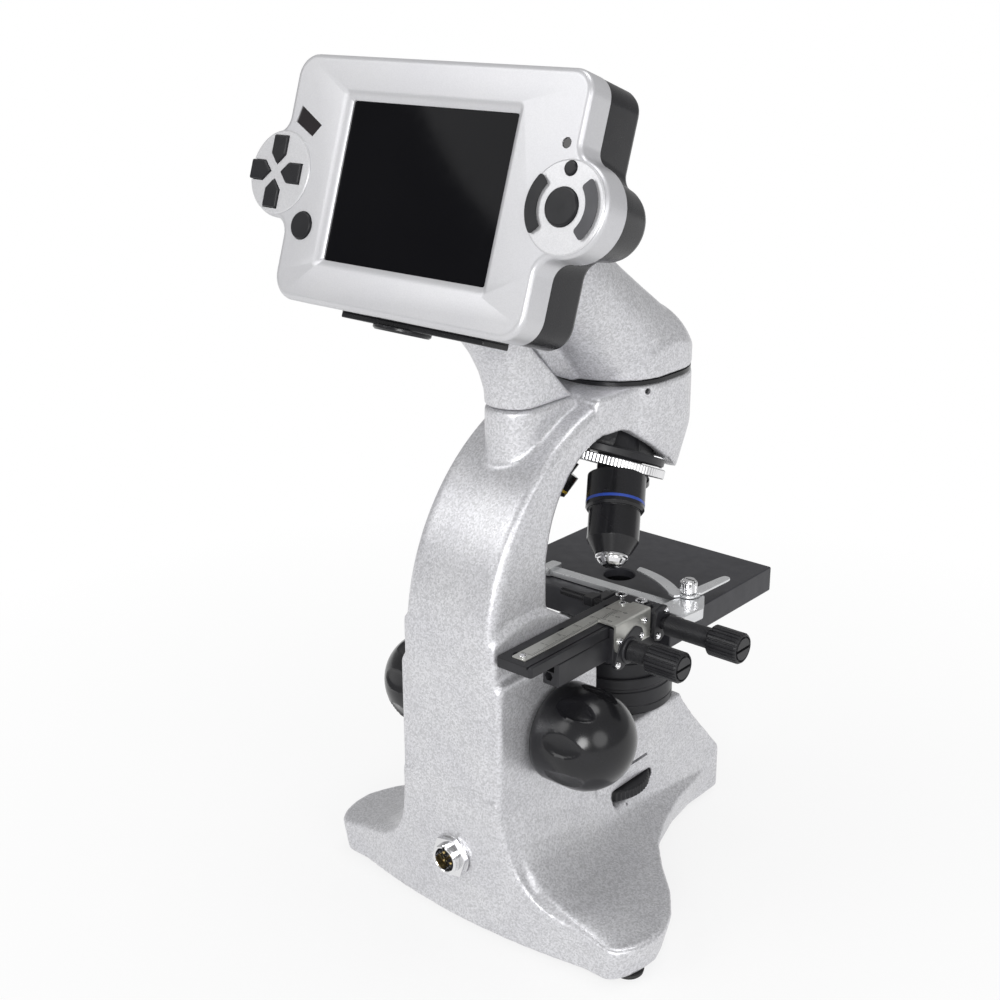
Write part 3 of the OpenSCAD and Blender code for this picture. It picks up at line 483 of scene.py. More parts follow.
def skin(rows):
    """Closed solid over rows of points that each run once round the section."""
    bm = bmesh.new()
    grid = [[bm.verts.new(p) for p in row] for row in rows]
    for a, b in zip(grid, grid[1:]):
        for i in range(len(a)):
            j = (i + 1) % len(a)
            bm.faces.new((a[i], a[j], b[j], b[i]))
    bm.faces.new(grid[0])
    bm.faces.new(grid[-1])
    bmesh.ops.recalc_face_normals(bm, faces=bm.faces)
    return bm


def apron(sign):
    """One wing of the base: flare from the wall to the rim, then down to the foot."""
    rows = []
    ts = [0.0, 0.02, 0.038, 0.06, 0.08, 0.1, 0.13, 0.16, 0.2, 0.25, 0.3, 0.35, 0.4, 0.47, 0.55, 0.63, 0.7,
          0.77, 0.84, 0.9, 0.95, 0.98, 1.0]
    for k in range(79):
        y = -108 + 2.0 * k
        xw, xr, s = wall_x(y) - 1.5, lookup(RIM, y), lookup(RIDGE, y)
        row = [(xw + (xr - xw) * t, RIM_Z + s * lookup(FLARE, t)) for t in ts]
        row += [(xr + 0.2, RIM_Z - 1.5), (xr - 1.2, 5), (xr - 3.0, FLOOR_Z), (xw - 6, FLOOR_Z),
                (xw - 6, RIM_Z + s * FLARE[0][1])]
        rows.append([(sign * x, y, z) for x, z in row])
    return skin(rows)


def ellipse(cy, cz, ry, rz, a0, a1, n):
    return [(cy + ry * cosd(a0 + (a1 - a0) * i / n),
             cz + rz * sind(a0 + (a1 - a0) * i / n)) for i in range(n + 1)]


def oval(r):
    """Seam outline: two half circles, one behind the other."""
    return arc(0, 2.8, r, 0, 180, 36) + arc(0, -6.8, r, 180, 360, 36)


def keyhole(r, front, centre):
    """Rib outline from above: straight front, round back."""
    return [(-r, front), (r, front), *arc(0, centre, r, 0, -180, 24)]


def arm_outline(d):
    """The arm from the side, its back moved in by d."""
    back = [(-101.4 + d, FLOOR_Z), (-103.6 + d, 25), (-105.3 + d, 45)]
    back += ellipse(-21.4, 115, 85.2 - d, SEAM_Z - 115 - d, 180, 106, 40)
    return back + [(-44, SEAM_Z), (0, SEAM_Z), (0, 181), (-16.6, 177.5), (-23.2, 181.4),
                   (-29, 183.2)] + ellipse(-36, 140, 37.5, 44, 97, 180, 26) + [(-73.2, 126), (-60, 118),
            (-50, 106), (-46, 95), (-45, FLOOR_Z)]


def behind_base():
    """Everything behind the curved back of the base."""
    rows = []
    for k in range(61):
        x = -90 + 3.0 * k
        rows.append([(x, rear_y(x, z), z) for z in (-12, 12, 24, 36, 48, 60)] + [(x, -130, 60),
                (x, -130, -12)])
    return skin(rows)


EDGE = 3.4
levels = [(20.8 - EDGE + EDGE * sind(a), EDGE * (1 - cosd(a))) for a in
          (0, 15, 30, 45, 60, 75, 90)]
arm = stack([(arm_outline(d), -x) for x, d in levels[::-1]] + [(arm_outline(d), x) for x, d in levels])
arm.transform(CROSS)
lower = [(-101.4, FLOOR_Z), (-103.6, 25), (-105.3, 45), (-105.3, 103.6), (-102.6, 106.4), (-54, 106.4),
         (-48.5, 101), (-46, 92), (-45, FLOOR_Z)]
pedestal = [(-60, FLOOR_Z), (-60, 57), (15.5, 57), (17.5, 53.2), (27.2, 41.2), (37.4, 30), (47.8, 18.4),
            (48, 14), (48, FLOOR_Z)]
cheek = [(-105.3, 60)] + arc(-86, 86.4, 40, 119, 30, 40) + [(-48.5, 101), (-46, 92), (-46, 60)]
front_lip = [(-31, SEAM_Z), (31, SEAM_Z), (31, 150), (12, 158), (6, 161.5), (-6, 169), (-16.5, 176.5),
             (-23.2, 181.4), (-31, 184)]
column = stack([(oval(19.6), 156), (oval(20.2), 158.6), (oval(24.2), 175), (oval(24.65), 177.4),
                (oval(24.8), 180), (oval(24.8), SEAM_Z)])
cut_away = [
    behind_base(),
    block(-10, -69.5, 58, 10, -39.5, 119),
    rod(12, 30, 70),
    block(12, -33.2, 24.6, 40, -5.8, 30.2),
    moved(rod(20.8, 24.6, 30.2), T(*DIMMER, 0)),
    rod_x(4.6, -40, 40, *FOCUS_AXIS),
    moved(rod(6.2, 0, 30), T(0, -88, 28) @ BACK),
    rod(12, 150, 220),
    moved(rod(26.1, -12, 8.9), TURRET),
    moved(rod(19.6, 0, 17), TURRET),
]
body = [apron(1), apron(-1), arm, side(lower, 24.3), side(pedestal, 22.6), side(cheek, 22.2),
        boolean(column, [side(front_lip, 40)], "INTERSECT"),
        boolean(slab(keyhole(11, -46, -67), 170, SEAM_Z),
                [side([(-79, 176), (-45, 183.6), (-45, 200), (-79, 200)], 30)], "INTERSECT")]
body = carved(body, cut_away)
small_cuts = [
    moved(slab([(-20, 37.8), (-8.4, 37.8), (-9.2, 39.2), (-18.8, 39.2)], 15, 60),
          CROSS),
    rod_x(0.7, 15, 60, -24, 22, 16),
    moved(rod(1.25, 15, 40, 24), T(0, -6.8, 196.2) @ R(-22.4, "Z") @ ALONG_X),
]
casting = boolean(remeshed(joined(body), 0.85, 7), small_cuts, self_cut=False)
piece("stand_casting", casting, PAINT, "stand", "base_arm", sharp=50, weighted=False)

# ------------------------------------------------------------------- head

HEAD_Z = 200.4
NECK = T(0, -1, 203) @ R(90 - 42.1, "X")
ball = lathe([(0, -28)] + [(28.2 * sind(a), -28.2 * cosd(a)) for a in
                            range(10, 175, 5)] + [(0, 28)], 72, 0)
ball.transform(T(0, -2, 199.6) @ Matrix.Diagonal((1, 1.075, 0.99, 1)))
dome = boolean(slab(oval(24.7), HEAD_Z, 240), [ball], "INTERSECT")
neck = moved(lathe([(0, -8), (21, -8), (24.3, -3), (24.6, 3), (23.9, 10), (22.3, 22), (20.4, 38),
                    (14, 117), (13, 124), (0, 124)], 72, 0), NECK)
rear_of_rib = [(199.1, -78), (204, -78.3), (211.6, -81.2), (219.4, -86), (225.2, -91.1), (229.4, -97),
               (232.5, -104.9), (236, -118), (262, -124)]
rib = stack([(keyhole(11, max(-46 - (z - 198.9) * 1.05, y + 12), y + 11), z) for z, y in rear_of_rib])
web = side([(-20, HEAD_Z), (-34, HEAD_Z), (-46, 205), (-100, 262), (-60, 262)], 1.8)
head_cuts = [
    moved(block(-60, -70, -24.7, 60, 70, 200), SCREEN),
    block(-60, -45, 100, 60, 75, HEAD_Z),
    rod(16, 190, 212),
]
head = joined(carved((dome, neck, rib, web), head_cuts))
piece("head_shell", remeshed(head, 0.8, 6), PAINT, "stand", "head_casting", sharp=180,
      weighted=False)
piece("seam_band", boolean(slab(oval(24.4), 198.85, 200.35), [slab(oval(20), 190, 210)]), SHELL_BLACK,
      "stand", "seam_ring")

# ----------------------------------------------------------------- screen

LOBE_X = 62


def tangent_fillet(x, r, up, lobe_r):
    """Centre of the concave fillet between the straight side at x and a lobe, and its two tangent angles."""
    cx = x + r
    cy = up * math.sqrt((lobe_r + r) ** 2 - (cx - LOBE_X) ** 2)
    return cx, cy, math.degrees(math.atan2(-cy, LOBE_X - cx))


def face_half(lobe_r):
    """Right half of the outline, from the bottom middle to the top middle."""
    out = [(0, -42)] + arc(55.5 - 9, -42 + 9, 9, -90, 0, 10)
    cx, cy, a = tangent_fillet(55.5, 6, -1, lobe_r)
    end = a if a > 0 else a + 360
    out += arc(cx, cy, 6, 180, end, 8)
    start = math.degrees(math.atan2(cy, cx - LOBE_X))
    cx2, cy2, a2 = tangent_fillet(63, 5, 1, lobe_r)
    stop = math.degrees(math.atan2(cy2, cx2 - LOBE_X))
    out += arc(LOBE_X, 0, lobe_r, start, stop, 30)[1:]
    end = a2 + 360 if a2 < 0 else a2
    out += arc(cx2, cy2, 5, end, 180, 8)[1:]
    out += arc(63 - 8, 41.2 - 8, 8, 0, 90, 10)
    return out + [(0, 41.2)]


def face_outline(lobe_r):
    half = face_half(lobe_r)
    return half[:-1] + [(-x, y) for x, y in reversed(half)][:-1]


OUTLINE = face_outline(15.2)
GLASS_W, GLASS_H = 71.5, 53.6


def inset(outline, d):
    """The outline moved inwards by d."""
    n = len(outline)
    out = []
    for i in range(n):
        p, a, b = Vector(outline[i]), Vector(outline[i - 1]), Vector(outline[(i + 1) % n])
        u, v = (p - a), (b - p)
        if u.length < 1e-6 or v.length < 1e-6:
            u = v = (b - a)
        u.normalize()
        v.normalize()
        m = (Vector((-u.y, u.x)) + Vector((-v.y, v.x))).normalized()
        k = max(0.5, m.dot(Vector((-u.y, u.x))))
        out.append(tuple(p + m * d / k))
    return out


def rounded_rect(w, h, r, n=6):
    x, y = w / 2 - r, h / 2 - r
    return arc(x, y, r, 0, 90, n) + arc(-x, y, r, 90, 180, n) + arc(-x, -y, r, 180, 270, n) + arc(
        x, -y, r, 270, 360, n)


def key_outline(name, clear=0.0):
    """Outline of a key in the plane of the screen."""
    if name == "ok":
        return arc(-46.7, -16.8, 4.7 + clear, 0, 360, 40)[:-1]
    if name == "snap":
        return arc(61.2, 0.1, 5.9 + clear, 0, 360, 56)[:-1]
    if name == "power":
        return arc(61.6, 11.6, 2.2 + clear, 0, 360, 32)[:-1]
    if name in ("menu", "mode"):
        mid = 180 if name == "menu" else 0
        band = arc(61.2, 0.1, 9.6 - clear, mid - 42 - clear, mid + 42 + clear, 16)
        band += arc(61.2, 0.1, 12.6 + clear, mid + 42 + clear, mid - 42 - clear, 16)
        return fillet(band, 0.5, 3, True) if not clear else band
    turn = math.radians({"up": 0, "left": 90, "down": 180, "right": 270}[name])
    arrow = [(-3.4 - clear, 12.4 + clear), (-3.4 - clear, 6), (0, 2.5 - clear), (3.4 + clear, 6),
             (3.4 + clear, 12.4 + clear)]
    if not clear:
        arrow = fillet(arrow, 0.6, 3, True)
    return [(-63.8 + x * math.cos(turn) - y * math.sin(turn), x * math.sin(turn) + y * math.cos(turn))
            for x, y in arrow]


IR = [(-57.5, 23.3), (-59, 17.6), (-49.9, 13.1), (-46.3, 17.2)]
bezel = stack([(OUTLINE, -7), (OUTLINE, 1.2), (inset(OUTLINE, 0.25), 1.95), (inset(OUTLINE, 0.75), 2.6),
               (inset(OUTLINE, 1.5), 2.93), (inset(OUTLINE, 2.2), 3.0)])
recess = stack([(rounded_rect(GLASS_W, GLASS_H, 0.8), -2), (rounded_rect(GLASS_W, GLASS_H, 0.8), 0.6),
                (rounded_rect(78, 60, 1.6), 3.02), (rounded_rect(78.4, 60.4, 1.8), 4)])
hollow = [slab(rounded_rect(104, 70, 2), -9, 0), slab(rounded_rect(124, 16, 2), -9, 0)]
hollow += [moved(rod(13.2, -9, 0, 64), T(s * LOBE_X, 0, 0)) for s in (-1, 1)]
bezel = boolean(bezel, [recess])
bezel = boolean(bezel, hollow)
KEYS = ["up", "down", "left", "right", "ok", "menu", "mode", "snap", "power"]
KEY_CLEAR = 0.2


def key_holes():
    return [slab(key_outline(k, KEY_CLEAR), -9, 8) for k in KEYS]


disc_holes = key_holes() + [slab(IR, -1, 8),
                                                              moved(rod(1.7, -1, 8, 32), T(57.7, 18.9, 0))]
bezel = boolean(bezel, disc_holes)
piece("screen_bezel", bezel, BEZEL, "stand", "lcd_bezel", place=SCREEN, sharp=40)
for s, label in ((-1, "left"), (1, "right")):
    pad = moved(lathe([(0, 2.9), (14.4, 2.9), (14.4, 3.25), (13.9, 3.55), (0, 3.55)], 96, 0.15),
                T(s * LOBE_X, 0, 0))
    pad = boolean(pad, key_holes())
    piece(f"{label}_control_disc", pad, DISC, "stand", place=SCREEN)

rear = stack([(inset(face_outline(11.8), 3.0), -24.5), (inset(face_outline(11.9), 1.5), -24.1),
              (inset(face_outline(12.0), 0.7), -23.2), (inset(face_outline(12.1), 0.3), -21.8),
              (inset(face_outline(13.9), 0.15), -7.6), (inset(face_outline(13.9), 0.4), -7.05)])
rear_cuts = [slab(rounded_rect(104, 70, 2), -22.5, 0), rod(10.5, -30, 0, 64),
             block(-32.2, -43, -22, 32.2, -37, -9)]
rear_cuts += [moved(rod(10.2, -22.5, 0, 64), T(s * LOBE_X, 0, 0)) for s in (-1, 1)]
SHELL_SCREWS = [(-57, 32), (57, 32), (-47, -37.6), (47, -37.6)]
rear_cuts += [moved(rod(2.7, -26, -21.5, 32), T(x, y, 0)) for x, y in SHELL_SCREWS]
for i in range(9):
    rear_cuts.append(block(-40 + i * 3.2, 14, -26, -38.4 + i * 3.2, 26, -21))
    rear_cuts.append(block(12.8 + i * 3.2, 14, -26, 14.4 + i * 3.2, 26, -21))
piece("screen_back", boolean(rear, rear_cuts), SHELL_BLACK, "stand", "lcd_rear_shell",
      place=SCREEN, sharp=40)

for k in KEYS:
    out = key_outline(k)
    top = {"ok": 3.9, "snap": 4.6}.get(k, 4.35)
    shape = stack([(out, -6), (out, top - 0.6), (inset(out, 0.12), top - 0.25),
                   (inset(out, 0.35), top - 0.05), (inset(out, 0.7), top)])
    piece(f"{k}_key", shape, KEY_GREY if k == "mode" else KEY_BLACK, f"button_{k}",
          f"key_{k}", place=SCREEN)

cover = joined([bevelled(block(-32, -44.2, -22, 32, -42.25, -9), 0.4),
                block(-32, -42.3, -21.8, 32, -38.3, -9.2),
                moved(lathe([(0, 0), (10, 0), (10, 1.1), (9.2, 1.8), (0, 1.8)], 72, 0.3),
                      T(-8, -44, -14.5) @ BACK)])
piece("battery_door", cover, SHELL_BLACK, "stand", "battery_cover", place=SCREEN)


def screw_head(r, h, turn=0.0, cross=False):
    """Round slotted head, its underside at z = 0."""
    bm = lathe([(0, 0), (r, 0), (r, h * 0.55), (r * 0.86, h * 0.86), (r * 0.5, h), (0, h)], 40, 0.08)
    slots = [moved(block(-2 * r, -0.14 * r, h * 0.45, 2 * r, 0.14 * r, h * 2), R(turn, "Z"))]
    if cross:
        slots = [moved(block(-0.6 * r, -0.13 * r, h * 0.3, 0.6 * r, 0.13 * r, h * 2), R(turn + 90 * i, "Z"))
                 for i in (0, 1)]
    return boolean(bm, slots)


heads = joined([moved(screw_head(2.5, 1.4, 20 * i, True), T(x, y, -23.2) @ R(180, "X")) for i, (x, y) in
                enumerate(SHELL_SCREWS)])
piece("shell_screw_heads", heads, STEEL, "stand", "shell_screws", place=SCREEN)

# ------------------------------------------------------------------ focus

def focus_knob(sign):
    r = 19.15
    prof = [(0, 0), (15.5, 0), (17.4, 0.3), (18.6, 1.3), (r, 3)]
    prof += [(r, 3 + i * 10.2 / 10) for i in range(1, 11)]
    prof += [(r * cosd(a), 13.2 + r * sind(a)) for a in range(3, 90, 3)]
    prof += [(0, 13.2 + r)]
    bm = lathe(prof, 192, 0)
    depth = 1.15
    for v in bm.verts:
        rr = math.hypot(v.co.x, v.co.y)
        if rr < 6:
            continue
        a = (math.degrees(math.atan2(v.co.y, v.co.x)) + 5) % 45 - 22.5
        along = (v.co.z - 15.5) / 7.2
        across = math.radians(a) * r / 4.1
        d = along * along + across * across
        if d < 1:
            dip = depth * (1 - d) ** 0.5
            v.co.x *= 1 - dip / rr
            v.co.y *= 1 - dip / rr
        elif d < 1.3:
            lift = 0.15 * math.sin(math.pi * (d - 1) / 0.3)
            v.co.x *= 1 + lift / rr
            v.co.y *= 1 + lift / rr
    bore = rod(4, -1, 15, 48)
    bm = boolean(bm, [bore], self_cut=False)
    m = T(0, *FOCUS_AXIS) @ ALONG_X @ T(0, 0, 25.5) @ R(12, "Z")
    if sign < 0:
        m = Matrix.Scale(-1, 4, (1, 0, 0)) @ m
    return moved(bm, m)


piece("right_focus_knob", focus_knob(1), GLOSS_BLACK, "focus", "focus_knob_right", sharp=50,
      weighted=False)
piece("left_focus_knob", focus_knob(-1), GLOSS_BLACK, "focus", "focus_knob_left", sharp=50,
      weighted=False)

# -------------------------------------------------------------- condenser

collar = lathe([(16, 57.02), (22.9, 57.02), (23.3, 57.6), (23.3, 60.4), (23.0, 60.8), (23.3, 61.2),
                (23.3, 67), (22.8, 67.5), (22.8, 68.4), (23.3, 68.9), (23.3, 72.6), (22.95, 73.1),
                (22.35, 73.1), (22.35, 59.8), (16, 59.8)], 128, 0.12, True)
piece("lamp_cup", collar, SATIN_BLACK, "stand", "lamp_collar")
housing = lathe([(5, 88), (5, 88.6), (15.5, 88.6), (15.5, 96), (13.5, 96), (13.5, 98), (14.35, 98),
                 (14.35, 104.9), (18.7, 104.9), (18.7, 93.9), (20.6, 93.9), (20.6, 91.9), (18.8, 91.9),
                 (18.8, 85.7), (20.4, 85.7), (20.4, 83.6), (21.6, 83.4), (21.9, 83), (21.9, 80.9),
                 (21.4, 80.5), (21.4, 79.6), (21.9, 79.2), (21.9, 72.8), (21.5, 72.4), (15.5, 72.4),
                 (15.5, 88)], 128, 0.12, True)
piece("condenser_body", housing, SATIN_BLACK, "stage", "condenser_housing")

ring = lathe([(18.85, 86), (22.4, 86), (22.8, 86.4), (22.8, 91.2), (22.4, 91.6), (18.85, 91.6)], 288, 0.1,
             True, wave=lambda a, r, z: r - (0.35 * (0.5 - 0.5 * math.cos(a * 72)) if r > 22.3 else 0))
lever = bevelled(block(-1.5, 22, 87.6, 1.5, 27.5, 90), 0.4)
piece("iris_grip", joined([ring, lever]), SATIN_BLACK, "iris", "iris_ring")

# ------------------------------------------------------------------ stage

def flange_plate(outline, radius, thick, x):
    """Upright plate with rounded corners, its outline in (y, z), from x outwards."""
    return moved(bevelled(slab(fillet(outline, radius, 5, True), 0, thick), 0.25), T(x, 0, 0) @ CROSS)


plate = boolean(bevelled(block(-44, -27.2, 99.7, 44, 47.1, STAGE_Z), 0.7, 3),
                [lathe([(0, 90), (6.5, 90), (6.5, 109.9), (7.0, 110.45), (7.0, 112), (0, 112)], 72, 0),
                 rod(19, 90, STAGE_Z - 3.5, 72)])
piece("stage_top", plate, STAGE_BLACK, "stage", "stage_plate", sharp=25)

guide = joined([bevelled(block(31.7, -89.6, 105.5, BAR_X1, -37.5, 114.8), 0.5),
                bevelled(block(31.7, -49.5, 100.2, BAR_X1, -27.2, 107.2), 0.4),
                bevelled(block(37.9, -60.3, 104.5, 41.3, -44.3, 114.8), 0.4),
                bevelled(block(39.2, -60.3, 104.5, 41.3, -44.3, 118.7), 0.4)])
guide = boolean(guide, [block(33.6, -110, 111, 37, -30, 120), rod_x(5, 33.4, 37.2, *NEAR_AXIS),
                        block(33.4, -56.8, 108, 37.2, -46.8, 116), rod_x(2.05, 33.4, 60, *NEAR_AXIS),
                        moved(rod(1.8, 82, 92, 6), T(34.5, 0, 109) @ BACK)])
flange = flange_plate([(-61.5, 103), (-56, 101.6), (-43.5, 109), (-43, 114), (-48, 116.6), (-58, 111.5)],
                      3, 1.7, 41.0)
bearing = moved(lathe([(2.1, 40), (5.2, 40), (5.2, 43.0), (4.7, 43.5), (2.1, 43.5)], 56, 0.15, True),
                NEAR_SHAFT)
piece("y_guide_block", joined([guide, bearing]), SATIN_BLACK, "stage", "y_guide", sharp=30)
piece("bearing_flange", boolean(flange, [rod_x(5.25, 30, 50, *NEAR_AXIS)]), SATIN_BLACK, "stage")

bar = slab(fillet([(BAR_X0, -105), (BAR_X1, -105), (BAR_X1, -31), (BAR_X0, -31)], 1.2, 4, True), 115, BAR_Z)
bar = bevelled(bar, 0.35, 2)
bar = boolean(bar, [moved(rod(2.3, 112, 122, 40), T(28.2, y, 0)) for y in (-98.5, -72.5, -45)]
              + [block(36.9, -110, 118.2, 37.5, -20, 122)])
piece("slide_bar", bar, SATIN_BLACK, "y_slide", sharp=30)


def rack_profile(n, back, m=0.8):
    """Outline of a rack, teeth towards +x."""
    p = math.pi * m
    out = [(-back, -n * p / 2)]
    for i in range(n):
        c = (i - n / 2 + 0.5) * p
        out += [(-0.9 * m, c - 0.66 * m - 0.1), (0.6 * m, c - 0.22 * m), (0.6 * m, c + 0.22 * m),
                (-0.9 * m, c + 0.66 * m + 0.1)]
    return out + [(-back, n * p / 2)]


y_rack = moved(slab(rack_profile(18, 3.1), -1.5, 1.5),
               Matrix(((0, 0, 1, 35.3), (0, 1, 0, -51.8 - 4 * math.pi * 0.8), (-1, 0, 0, 112), (0, 0, 0, 1))))
piece("bar_rack", y_rack, STEEL, "y_slide", "y_slide_plate", weighted=False)

rule = bevelled(slab(fillet([(27.6, -102), (33.7, -102), (33.7, -38), (27.6, -38)], 0.6, 3, True),
                     BAR_Z + 0.02, BAR_Z + 0.52), 0.1, 1)
piece("ruler_strip", rule, RULE, "y_slide", "y_ruler")
ticks = []
for i in range(51):
    length = 2.6 if i % 10 == 0 else (2.0 if i % 5 == 0 else 1.3)
    ticks.append(block(33.4 - length, -97 + i - 0.09, BAR_Z + 0.5, 33.4, -97 + i + 0.09, BAR_Z + 0.55))
piece("ruler_ticks", joined(ticks), INK, "y_slide", weighted=False)

DIGITS = {
    "0": ["ab", "bc", "cd", "de", "ef", "fa"], "1": ["bc", "cd"], "2": ["ab", "bc", "cf", "fe", "ed"],
    "3": ["ab", "bc", "cd", "de", "cf"], "4": ["af", "fc", "bc", "cd"], "5": ["ba", "af", "fc", "cd", "de"],
}
DIGIT_XY = {"a": (0, 2), "b": (1, 2), "c": (1, 1), "d": (1, 0), "e": (0, 0), "f": (0, 1)}


def stroke(p, q, w, z0, z1):
    p, q = Vector(p), Vector(q)
    u = (q - p).normalized() * (w / 2)
    n = Vector((-u.y, u.x))
    p, q = p - u, q + u
    return slab([tuple(p - n), tuple(q - n), tuple(q + n), tuple(p + n)], z0, z1)


def numeral(ch, x, y, size, z):
    """Plain stroke figure that reads from the right-hand side."""
    parts = []
    for s in DIGITS[ch]:
        a, b = DIGIT_XY[s[0]], DIGIT_XY[s[1]]
        p = (x - a[1] * size, y + a[0] * size)
        q = (x - b[1] * size, y + b[0] * size)
        parts.append(stroke(p, q, 0.16, z, z + 0.05))
    return parts


figures = []
for i in range(6):
    figures += numeral(str(i), 30.2, -97.3 + i * 10 - 0.5, 0.75, BAR_Z + 0.5)
piece("ruler_figures", joined(figures), INK, "y_slide", weighted=False)

L_OUT = [(33.9, BAR_Z + 1.5), (33.9, BAR_Z + 0.7), (41.35, BAR_Z + 0.7), (41.35, 108.4), (42.15, 108.4),
         (42.15, BAR_Z + 1.5)]
bent = fillet(L_OUT, 0.7, 4, True)
bm = slab(bent, 38, 60)
bm.transform(Matrix(((1, 0, 0, 0), (0, 0, -1, 0), (0, 1, 0, 0), (0, 0, 0, 1))))
vernier = boolean(bm, [
    side([(-62, 100), (-62, 117.5), (-59.2, 109.5), (-57, 107.6), (-50, 107.5), (-50, 100)], 60),
    side([(-37, 100), (-37, 114.5), (-46.5, 110.4), (-46.5, 100)], 60),
    rod_x(5.4, 40, 50, *NEAR_AXIS)])
piece("vernier_plate", vernier, RULE, "stage", "vernier_bracket", sharp=25)
ticks = [block(34.0, -58 + i * 0.95, BAR_Z + 1.48, 34.0 + (2.2 if i % 5 == 0 else 1.3), -57.84 + i * 0.95,
               BAR_Z + 1.54) for i in range(11)]
for i, ch in enumerate("050"):
    ticks += numeral(ch, 38.6, -58.3 + i * 4.75, 0.7, BAR_Z + 1.48)
piece("vernier_ticks", joined(ticks), INK, "stage", weighted=False)

SIDE_SCREWS = [(-57.6, 113.4, 42.15, 1.3), (-42.0, 116.6, 42.15, 1.2), (-44.6, 111.6, 42.7, 1.2),
               (-59.4, 104.6, 42.7, 1.4)]
side_screws = []
for i, (y, z, x, r) in enumerate(SIDE_SCREWS):
    side_screws.append(moved(screw_head(r, 0.8, 35 * i + 20, True), T(x, y, z) @ ALONG_X))
piece("guide_screw_heads", joined(side_screws), CHROME, "stage", "guide_screws")

cross = joined([bevelled(block(BAR_X0 + 0.4, -37, 110.8, BAR_X1 + 3.6, -28.4, 114.95), 0.4),
                bevelled(block(BAR_X1 + 0.25, -37, 110.8, BAR_X1 + 3.9, -28.4, 117.8), 0.5)])
cross = boolean(cross, [rod_x(1.6, 0, 60, *FAR_AXIS)])
piece("lead_block", cross, SATIN_BLACK, "y_slide", "cross_block")
far_flange = flange_plate([(-38.6, 107.3), (-34, 105.8), (-28.6, 109.4), (-28.4, 116), (-31, 120.4),
                           (-36.6, 118.8), (-38, 113)], 2.4, 1.6, BAR_X1 + 3.9)
piece("lead_flange", boolean(far_flange, [rod_x(2.3, 30, 60, *FAR_AXIS)]), SATIN_BLACK, "y_slide")
tops = [moved(screw_head(2.3, 1.1, 40 * i + 15), T(x, -33.4, BAR_Z)) for i, x in enumerate((25.3, 34.6))]
tops += [moved(screw_head(1.3, 0.8, 30 * i), T(31.0, y, BAR_Z + 0.53)) for i, y in enumerate((-99.8, -40.4))]
tops += [moved(screw_head(1.3, 0.8, 25 * i, True), T(BAR_X1 + 5.5, y, z) @ ALONG_X) for i, (y, z) in
         enumerate(((-31.2, 117.6), (-36.2, 108.8)))]
piece("slide_screw_heads", joined(tops), CHROME, "y_slide", "slide_screws")


def stage_knob(x0, shaft_x, x1, r):
    """Knurled knob with slotted cap at the far end."""
    teeth = 24

    def wave(a, q, z):
        if q < r - 0.9 or z < x0 + 0.6 or z > x1 - 0.9:
            return q
        w = (a * teeth / (2 * math.pi)) % 1
        return q - (0.42 if w < 0.28 else 0.0)

    prof = [(0, x0), (4.2, x0), (r - 0.7, x0), (r, x0 + 0.7)]
    prof += [(r, x0 + 0.7 + (x1 - x0 - 1.8) * i / 6) for i in range(1, 7)]
    prof += [(r - 0.5, x1 - 0.4), (r - 1.0, x1 - 0.2), (r - 1.2, x1 - 0.9), (r - 1.5, x1 - 0.9),
             (r - 1.7, x1 - 0.1), (0, x1 - 0.1)]
    knob = lathe(prof, 192, 0.0, wave=wave)
    knob = boolean(knob, [block(-0.55, -r + 1.6, x1 - 1.4, 0.55, r - 1.6, x1 + 2)], self_cut=False)
    ridges = [(0, shaft_x), (3.6, shaft_x)]
    x = shaft_x + 0.3
    while x < x0 - 0.4:
        ridges += [(4.0, x), (4.0, x + 0.35), (3.85, x + 0.5)]
        x += 0.6
    ridges += [(4.0, x0 + 0.5), (0, x0 + 0.5)]
    return joined([knob, lathe(ridges, 64, 0)])


near = joined([stage_knob(52.5, 43.7, 67, 5.9), rod(2, 33.8, 45, 32)])
piece("near_stage_knob", near, KNURL_BLACK, "y_drive", place=NEAR_SHAFT, sharp=30)
gear = []
for i in range(10):
    a = 36 * i
    gear.append(moved(slab([(2.6, -0.66), (4.48, -0.18), (4.48, 0.18), (2.6, 0.66)], 33.8, 36.8), R(a, "Z")))
gear.append(rod(3.2, 33.8, 36.8, 40))
piece("near_pinion", joined(gear), STEEL, "y_drive", "y_knob", place=NEAR_SHAFT,
      weighted=False)
far = joined([stage_knob(66.6, 47, 80, 5.9), rod(2.1, 44.6, 48, 32)])
piece("far_stage_knob", far, KNURL_BLACK, "x_drive", place=FAR_SHAFT, sharp=30)
thread = [(0, -4)]
z = -4.0
while z < 44.5:
    thread += [(1.5, z + 0.1), (1.28, z + 0.35), (1.5, z + 0.6)]
    z += 0.6
thread += [(0, z + 0.1)]
piece("lead_screw", lathe(thread, 40, 0), KNURL_BLACK, "x_drive", "x_knob",
      place=FAR_SHAFT, weighted=False)

# ---------------------------------------------------------------- holder

NUT = (40.0, -9.2)
rail = slab(fillet([(-24.6, -20), (40, -18.6), (40, -13.2), (-24.6, -14.8)], 0.6, 3, True), HOLDER_Z,
            HOLDER_Z + 2.2)
corner = slab(fillet([(37, -27), (50.3, -28.4), (51.4, -16), (44.8, -4.9), (38, -11.6)], 1.2, 4, True),
              HOLDER_Z, HOLDER_Z + 4.6)
end_tab = slab(fillet([(-24.9, -21.5), (-19.6, -21.2), (-19.8, -12.6), (-24.9, -12.9)], 1.2, 4, True),
               HOLDER_Z, HOLDER_Z + 3.6)
lug = block(8, -35, HOLDER_Z + 0.1, 12.5, -19.2, HOLDER_Z + 1.5)
lug2 = block(8, -35, HOLDER_Z + 0.1, 12.5, -29, HOLDER_Z + 3.9)
holder = joined([bevelled(rail, 0.25, 2), bevelled(corner, 0.45, 3), bevelled(end_tab, 0.3, 2)])
